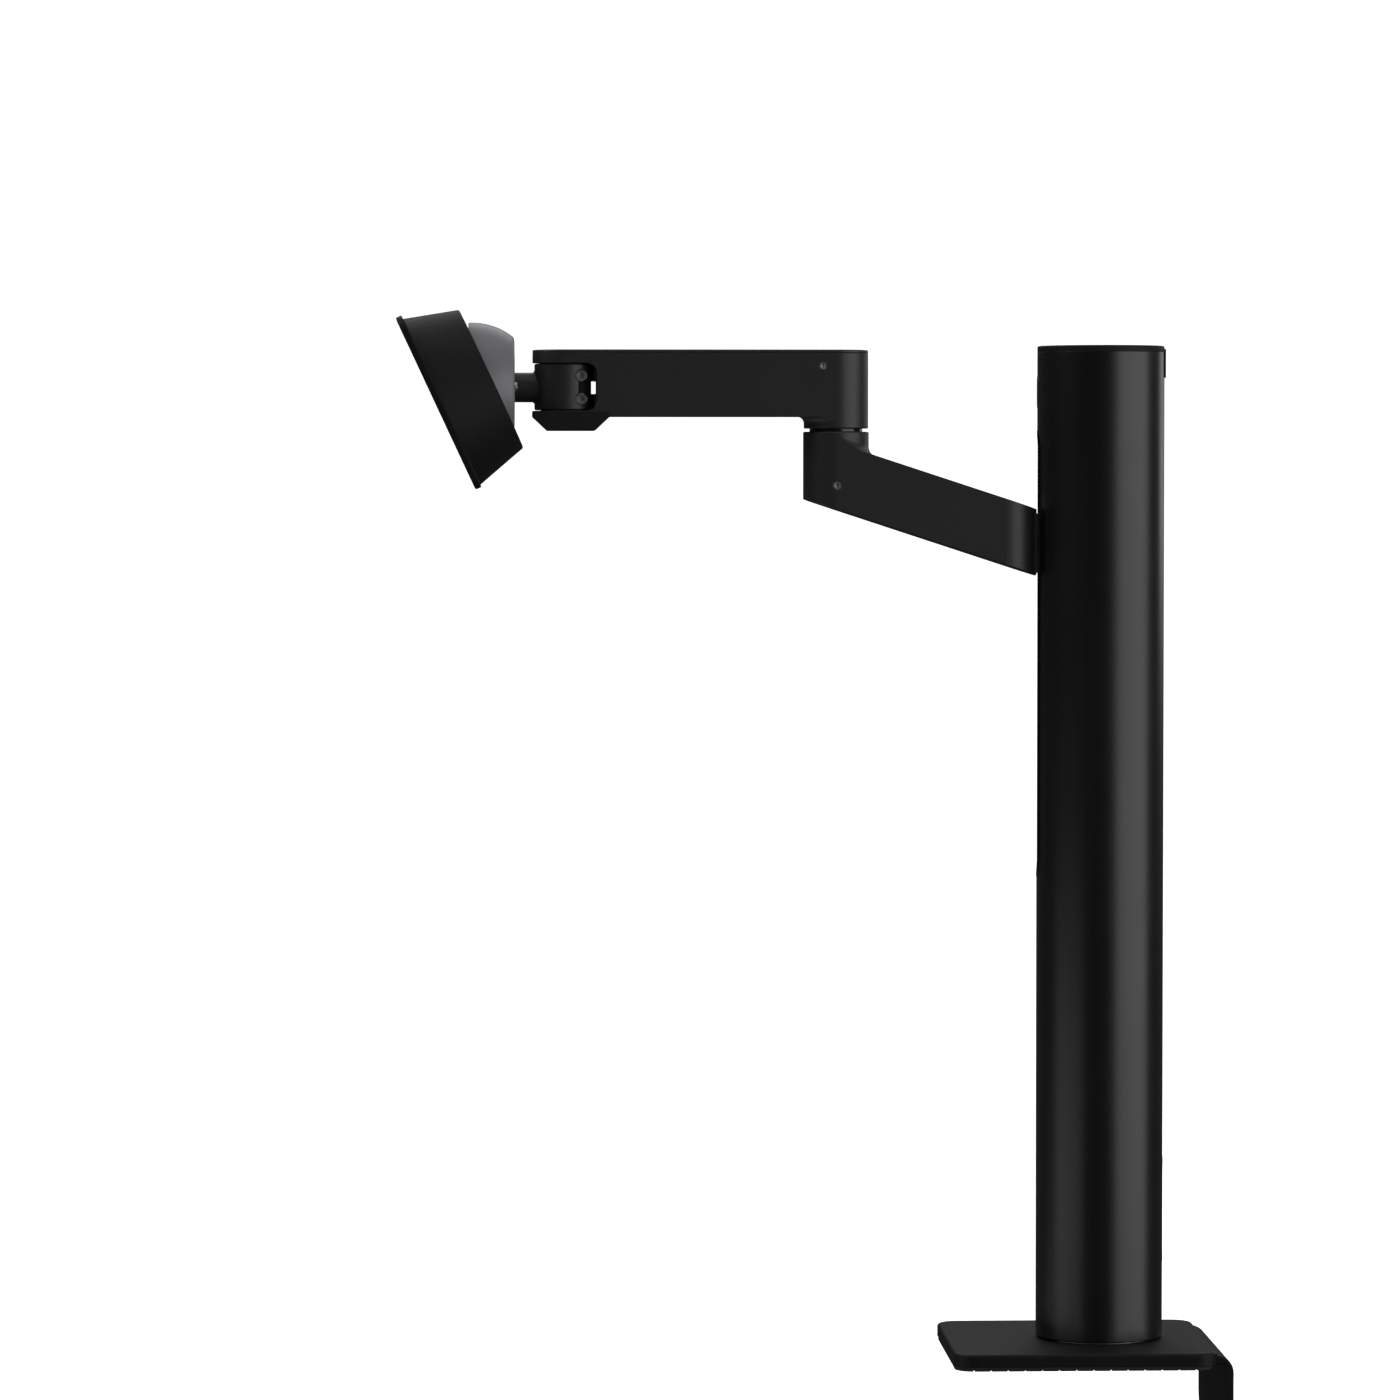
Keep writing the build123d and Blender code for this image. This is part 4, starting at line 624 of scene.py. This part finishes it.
class MONITORARM_OT_finishes(bpy.types.Operator):
    """Makes every finish and gives each CAD piece the one its slot names"""

    bl_idname = "monitor_arm.finishes"
    bl_label = "Paint the arm"

    def execute(self, context):
        colours = context.scene.arm_finishes
        for build in (
            edge_wear_group,
            surface_grain_group,
            dust_group,
            tool_lines_group,
            clouds_group,
        ):
            build()
        for node in frame["nodes"].values():
            node.data.materials.clear()
        for old in [m for m in bpy.data.materials if not m.users]:
            bpy.data.materials.remove(old)
        sheet, arm, plastic = colours.sheet_black, colours.arm_black, colours.moulded_black
        drawn_upright, ground_upright = (420.0, 420.0, 7.0), (40.0, 40.0, 3200.0)
        rolled, cast, coiled = (500.0, 500.0, 300.0), (700.0, 700.0, 700.0), (600.0, 600.0, 200.0)
        paint("powder_coat", sheet, roughness=0.5, grain=1100.0, depth=0.05, specular_ior_level=0.17)
        paint(
            "column_paint",
            colours.column_black,
            roughness=0.33,
            grain=2200.0,
            depth=0.012,
            lines=drawn_upright,
        )
        paint("arm_paint", arm, roughness=0.46, grain=1300.0, depth=0.03)
        paint("dome_paint", colours.dome_grey, roughness=0.42, grain=1700.0, depth=0.02, wear=0.4)
        paint("gas_cylinder_paint", sheet, roughness=0.26, grain=700.0, depth=0.01)
        paint("black_screw", arm, roughness=0.36, grain=2600.0, depth=0.008, wear=2.0)
        moulding(
            "black_plastic",
            plastic,
            roughness=0.62,
            grain=1500.0,
            depth=0.04,
            specular_ior_level=0.22,
        )
        moulding("gloss_trim", plastic, roughness=0.2, grain=500.0, depth=0.004, spread=0.03)
        moulding("bearing_plastic", colours.acetal, roughness=0.36, grain=900.0, depth=0.01)
        moulding(
            "rubber",
            colours.rubber_black,
            roughness=0.78,
            grain=800.0,
            depth=0.06,
            spread=0.1,
            dusty=1.5,
            specular_ior_level=0.3,
        )
        zinc_tones = (colours.zinc_light, colours.zinc_dark)
        cast_tones = (colours.cast_metal, colours.zinc_dark)
        rod_tones = (colours.rod_light, colours.rod_dark)
        spring_tones = (colours.spring_light, colours.spring_dark)
        bare_metal("zinc", *zinc_tones, roughness=0.26, stretch=rolled)
        bare_metal("die_cast", *cast_tones, roughness=0.42, stretch=cast, depth=0.05)
        bare_metal(
            "ground_rod",
            *rod_tones,
            roughness=0.1,
            stretch=ground_upright,
            depth=0.001,
            spread=0.05,
        )
        bare_metal("spring_steel", *spring_tones, roughness=0.3, stretch=coiled)
        for part in frame["record"]["subparts"]:
            node = frame["nodes"][part["node"]]
            node.data.materials.append(bpy.data.materials[part["material_slot"]])
        return {"FINISHED"}


# ---------------------------------------------------------------- detailed hardware
class MONITORARM_OT_clamp_screw(bpy.types.Operator):
    """Rolls the clamp screw's trapezoidal thread and trims its spare turns"""

    bl_idname = "monitor_arm.clamp_screw"
    bl_label = "Clamp screw"

    def execute(self, context):
        sizes = context.scene.arm_hardware
        low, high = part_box("clamp_screw")
        crest, pitch = high.x, sizes.thread_pitch
        root = crest - sizes.thread_depth
        # Each point of the tooth: its radius and its share of the pitch.
        tooth = ((root, 0), (root, 0.36), (crest, 0.5), (crest, 0.86), (root, 1))
        spare = 2
        start = low.z - spare * pitch
        piece = draw_line("rolled_clamp_screw", [(r, 0, start + z * pitch) for r, z in tooth])
        turns = round((high.z - low.z) / pitch) + 2 * spare
        apply_modifier(
            piece,
            "SCREW",
            angle=2 * pi,
            screw_offset=pitch,
            iterations=turns,
            steps=sizes.steps,
            render_steps=sizes.steps,
            use_merge_vertices=True,
            merge_threshold=0.01 * MM,
        )
        bpy.ops.object.mode_set(mode="EDIT")
        for end, facing in ((low.z, -1), (high.z, 1)):
            bpy.ops.mesh.select_all(action="SELECT")
            bpy.ops.mesh.bisect(
                plane_co=(0, 0, end), plane_no=(0, 0, facing), use_fill=True, clear_outer=True
            )
        finish_piece(piece, "clamp_handle", "zinc", "clamp_screw", 25)
        return {"FINISHED"}


class MONITORARM_OT_rubber_pads(bpy.types.Operator):
    """Moulds the grooved desk pad and the ringed clamp pad"""

    bl_idname = "monitor_arm.rubber_pads"
    bl_label = "Rubber pads"

    def desk_pad(self, sizes):
        """A rounded sheet with grooves across its underside."""
        low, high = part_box("base_pad")
        middle, size = (low + high) / 2, high - low
        start_object_mode()
        bpy.ops.mesh.primitive_plane_add(size=1, location=(middle.x, middle.y, low.z))
        pad = bpy.context.active_object
        pad.name = pad.data.name = "grooved_desk_pad"
        pad.scale = (size.x, size.y, 1)
        bpy.ops.object.transform_apply(location=True, rotation=True, scale=True)
        bpy.ops.object.mode_set(mode="EDIT")
        bpy.ops.mesh.select_all(action="SELECT")
        bpy.ops.mesh.bevel(affect="VERTICES", offset=sizes.desk_pad_corner, segments=8)
        bpy.ops.mesh.select_all(action="SELECT")
        bpy.ops.mesh.extrude_region_move(TRANSFORM_OT_translate={"value": (0, 0, size.z)})
        bpy.ops.mesh.select_all(action="SELECT")
        bpy.ops.mesh.normals_make_consistent(inside=False)
        depth, pitch = sizes.desk_groove_depth, sizes.desk_groove_pitch
        count = int((size.x - 2 * pitch) / pitch) + 1
        first = middle.x - (count - 1) * pitch / 2
        corners = ((-depth, -depth), (depth, -depth), (0, depth), (-depth, -depth))
        cutter = draw_line("groove", [(first + x, low.y - pitch, low.z + z) for x, z in corners])
        bpy.ops.mesh.select_all(action="SELECT")
        bpy.ops.mesh.remove_doubles(threshold=0.001 * MM)
        bpy.ops.mesh.edge_face_add()
        bpy.ops.mesh.extrude_region_move(TRANSFORM_OT_translate={"value": (0, size.y + 2 * pitch, 0)})
        bpy.ops.mesh.select_all(action="SELECT")
        bpy.ops.mesh.normals_make_consistent(inside=False)
        apply_modifier(
            cutter,
            "ARRAY",
            count=count,
            use_relative_offset=False,
            use_constant_offset=True,
            constant_offset_displace=(pitch, 0, 0),
        )
        apply_modifier(pad, "BOOLEAN", operation="DIFFERENCE", solver="EXACT", object=cutter)
        bpy.data.objects.remove(cutter)
        finish_piece(pad, "base", "rubber", "base_pad")

    def clamp_pad(self, sizes):
        """A disc with rings cut into the face that grips the desk."""
        low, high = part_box("pressure_pad")
        top, radius, pitch = high.z, high.x, sizes.pad_ring_pitch
        width, depth = sizes.pad_ring_width, sizes.pad_ring_depth
        rim, rim_middle = 1.0 * MM, 0.3 * MM
        profile = [(0, 0, top)]
        for ring in range(1, int(radius / pitch)):
            middle = ring * pitch
            profile += [(middle - width, 0, top), (middle, 0, top - depth), (middle + width, 0, top)]
        profile += [
            (radius - rim, 0, top),
            (radius - rim_middle, 0, top - rim_middle),
            (radius, 0, top - rim),
            (radius, 0, low.z),
            (0, 0, low.z),
        ]
        pad = turn("ringed_clamp_pad", profile, (0, 0, 0), (0, 0, 1), sizes.steps)
        finish_piece(pad, "clamp_pad", "rubber", "pressure_pad")

    def execute(self, context):
        sizes = context.scene.arm_hardware
        self.desk_pad(sizes)
        self.clamp_pad(sizes)
        return {"FINISHED"}


class MONITORARM_OT_spring_washers(bpy.types.Operator):
    """Forms the coned washers that hold the elbow and the tilt bolt by friction"""

    bl_idname = "monitor_arm.spring_washers"
    bl_label = "Spring washers"

    def execute(self, context):
        sizes = context.scene.arm_hardware
        elbow_bore, tilt_bore = 7.05 * MM, 3.05 * MM
        elbow_stack = 2.9 * MM
        for node, name, up, inner in (
            ("disc_springs", "coned_elbow_springs", Vector((0, 0, 1)), elbow_bore),
            ("tilt_washers", "coned_tilt_washers", Vector((0, 1, 0)), tilt_bore),
        ):
            low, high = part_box(node)
            centre = (low + high) / 2
            outer = (high.x - low.x) / 2
            bottom, top = low.dot(up), high.dot(up)
            start = centre - up * centre.dot(up)
            sheet = sizes.washer_sheet * (top - bottom) / elbow_stack
            middle, half_gap = (bottom + top) / 2, sizes.washer_gap / 2
            pair = []
            for outer_face, inner_face, inward in (
                (bottom, middle - half_gap, 1),
                (top, middle + half_gap, -1),
            ):
                profile = (
                    (outer, outer_face),
                    (outer, outer_face + inward * sheet),
                    (inner, inner_face),
                    (inner, inner_face - inward * sheet),
                    (outer, outer_face),
                )
                line = [start + Vector((r, 0, 0)) + up * z for r, z in profile]
                pair.append(turn(name, line, start, up, sizes.steps))
            body = body_of(frame["nodes"][node])[0]
            finish_piece(join_pieces(name, pair), body, "spring_steel", node)
        return {"FINISHED"}


# ---------------------------------------------------------------- studio
# Where each soft box stands, what it aims at (None: the arm's middle), its width and its height, in metres.
SOFT_BOXES = {
    "bounce": ((-0.75, 0, -0.1225), (-0.75, 0, 1), 0.7, 0.7),
    "key": ((1.87, -1.33, 0.5), (-0.08, -0.13, 0.35), 2.9, 2.0),
    "low": ((-0.53, -0.27, 0.02), (0, 0, 0.02), 0.6, 0.24),
    "side": ((-1.7, -0.3, 1.7), None, 1.4, 1.4),
    "top": ((-0.2, -0.3, 2.4), None, 1.6, 1.6),
    "back": ((-0.3, 1.9, 1.9), None, 2.4, 1.4),
    "rim": ((1.15, 1.35, 0.8), (0, 0, 0.4), 0.8, 1.0),
}


def looking_along(direction):
    """The turn that points a light or a camera along a direction."""
    return Vector(direction).to_track_quat("-Z", "Y").to_euler()


def soft_box(name, place_at, aim_at, wide, high, level):
    """A rectangular area light of one brightness over its face, unseen by the camera."""
    lamp = bpy.data.lights.new(name, "AREA")
    lamp.shape = "RECTANGLE"
    lamp.size, lamp.size_y = wide, high
    lamp.energy = level * pi * wide * high
    lit = bpy.data.objects.new(name, lamp)
    bpy.context.scene.collection.objects.link(lit)
    lit.location = place_at
    lit.rotation_euler = looking_along(Vector(aim_at) - Vector(place_at))
    lit.visible_camera = False


class MONITORARM_OT_studio(bpy.types.Operator):
    """Sets up the floor, backdrop, room, lights and camera"""

    bl_idname = "monitor_arm.studio"
    bl_label = "Studio"

    def sweep(self, setup):
        """A white floor that curves up into a backdrop, and is clear from behind and below."""
        floor, back = cad_box[0].z - setup.floor_gap, setup.backdrop_back
        side, wall, bend, near = 9.0, 5.0, 1.2, 0.01
        start_object_mode()
        bpy.ops.mesh.primitive_plane_add(size=1, location=(0, (back - side) / 2, floor))
        sheet = bpy.context.active_object
        sheet.name = sheet.data.name = "studio_sweep"
        sheet.scale = (2 * side, side + back, 1)
        bpy.ops.object.transform_apply(location=True, rotation=True, scale=True)
        bpy.ops.object.mode_set(mode="EDIT")
        bpy.ops.mesh.select_mode(type="EDGE")
        bpy.ops.mesh.select_all(action="DESELECT")
        mesh = bmesh.from_edit_mesh(sheet.data)
        for edge in mesh.edges:
            edge.select = all(v.co.y > back - near for v in edge.verts)
        bmesh.update_edit_mesh(sheet.data)
        bpy.ops.mesh.extrude_region_move(TRANSFORM_OT_translate={"value": (0, 0, wall)})
        mesh = bmesh.from_edit_mesh(sheet.data)
        for edge in mesh.edges:
            edge.select = all(v.co.y > back - near and v.co.z < floor + near for v in edge.verts)
        bmesh.update_edit_mesh(sheet.data)
        bpy.ops.mesh.bevel(offset=bend, segments=24)
        bpy.ops.object.mode_set(mode="OBJECT")
        bpy.ops.object.shade_smooth()
        self.paper(setup)
        sheet.data.materials.append(bpy.data.materials["studio_paper"])
        sheet.visible_glossy = sheet.visible_diffuse = False

    def paper(self, setup):
        """The sweep's paper: white in front, clear from behind."""
        tree, shader = new_finish("studio_paper")
        fibres = grain_of(tree, grain=300.0, roughness=0.8, spread=0.06, drift=0.8)
        dull, clean = (0.84, 0.84, 0.84, 1), (0.88, 0.88, 0.88, 1)
        tone = mix(tree, fibres["Drift"], dull, clean)
        surface = place(tree, "NewGeometry").outputs
        feed(
            tree,
            shader,
            tone,
            fibres["Roughness"],
            fibres["Height"],
            surface["Normal"],
            0.05,
            specular_ior_level=0.1,
            emission_color=WHITE,
            emission_strength=setup.paper_glow,
        )
        clear = place(tree, "BsdfTransparent")
        one_sided = {0: surface["Backfacing"], 1: shader.outputs[0], 2: clear.outputs[0]}
        paper = place(tree, "MixShader", one_sided)
        tree.links.new(paper.outputs[0], tree.nodes["Material Output"].inputs["Surface"])

    def room(self, setup):
        """Plain white to the camera, and to the arm a dim room with a brighter ceiling."""
        ceiling_start, ceiling_full = 0.3, 0.9
        world = bpy.data.worlds.new("studio_room")
        world.use_nodes = True
        tree = world.node_tree
        tree.nodes.clear()
        way = place(tree, "SeparateXYZ", {0: place(tree, "TexCoord").outputs["Generated"]})
        levels = (setup.room_light, setup.ceiling_light)
        lit = ramp(tree, way.outputs[2], ceiling_start, ceiling_full, *levels)
        seen = place(tree, "LightPath").outputs["Is Camera Ray"]
        strength = calculate(tree, "MAXIMUM", seen, lit)
        walls = place(tree, "Background", {"Color": WHITE, "Strength": strength})
        place(tree, "OutputWorld", {"Surface": walls.outputs[0]})
        bpy.context.scene.world = world

    def execute(self, context):
        setup = context.scene.arm_studio
        self.sweep(setup)
        self.room(setup)
        middle = (cad_box[0] + cad_box[1]) / 2
        for name, (place_at, aim_at, wide, high) in SOFT_BOXES.items():
            level = getattr(setup, name + "_light")
            soft_box(name + "_box", place_at, aim_at or middle, wide, high, level)
        eye = bpy.data.objects.new("camera", bpy.data.cameras.new("camera"))
        context.scene.collection.objects.link(eye)
        eye.location = setup.camera_place
        eye.rotation_euler = looking_along(setup.camera_aim)
        eye.data.lens, eye.data.sensor_width = setup.camera_lens, 36
        eye.data.clip_start, eye.data.clip_end = 0.05, 60
        context.scene.camera = eye
        context.scene.view_settings.view_transform = "Standard"
        return {"FINISHED"}


# ---------------------------------------------------------------- panel and run
OPERATORS = (
    MONITORARM_OT_finishes,
    MONITORARM_OT_clamp_screw,
    MONITORARM_OT_rubber_pads,
    MONITORARM_OT_spring_washers,
    MONITORARM_OT_studio,
)


class MONITORARM_PT_sidebar(bpy.types.Panel):
    """Lists the arm's settings and its building steps"""

    bl_label = "Monitor Arm"
    bl_idname = "MONITORARM_PT_sidebar"
    bl_space_type = "VIEW_3D"
    bl_region_type = "UI"
    bl_category = "Monitor Arm"

    def draw(self, context):
        for group in (context.scene.arm_finishes, context.scene.arm_hardware, context.scene.arm_studio):
            box = self.layout.box()
            for name in group.__annotations__:
                box.prop(group, name)
        for operator in OPERATORS:
            self.layout.operator(operator.bl_idname)


CLASSES = (ArmFinishes, ClampHardware, StudioSetup, *OPERATORS, MONITORARM_PT_sidebar)


def register():
    """Adds the classes and their settings to Blender."""
    for kind in CLASSES:
        bpy.utils.register_class(kind)
    bpy.types.Scene.arm_finishes = PointerProperty(type=ArmFinishes)
    bpy.types.Scene.arm_hardware = PointerProperty(type=ClampHardware)
    bpy.types.Scene.arm_studio = PointerProperty(type=StudioSetup)


def unregister():
    """Takes the settings and classes out again."""
    del bpy.types.Scene.arm_studio, bpy.types.Scene.arm_hardware, bpy.types.Scene.arm_finishes
    for kind in reversed(CLASSES):
        bpy.utils.unregister_class(kind)


def main():
    """Builds the arm's details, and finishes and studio."""
    register()
    for operator in OPERATORS:
        group, name = operator.bl_idname.split(".")
        getattr(getattr(bpy.ops, group), name)()


if __name__ == "__main__":
    main()
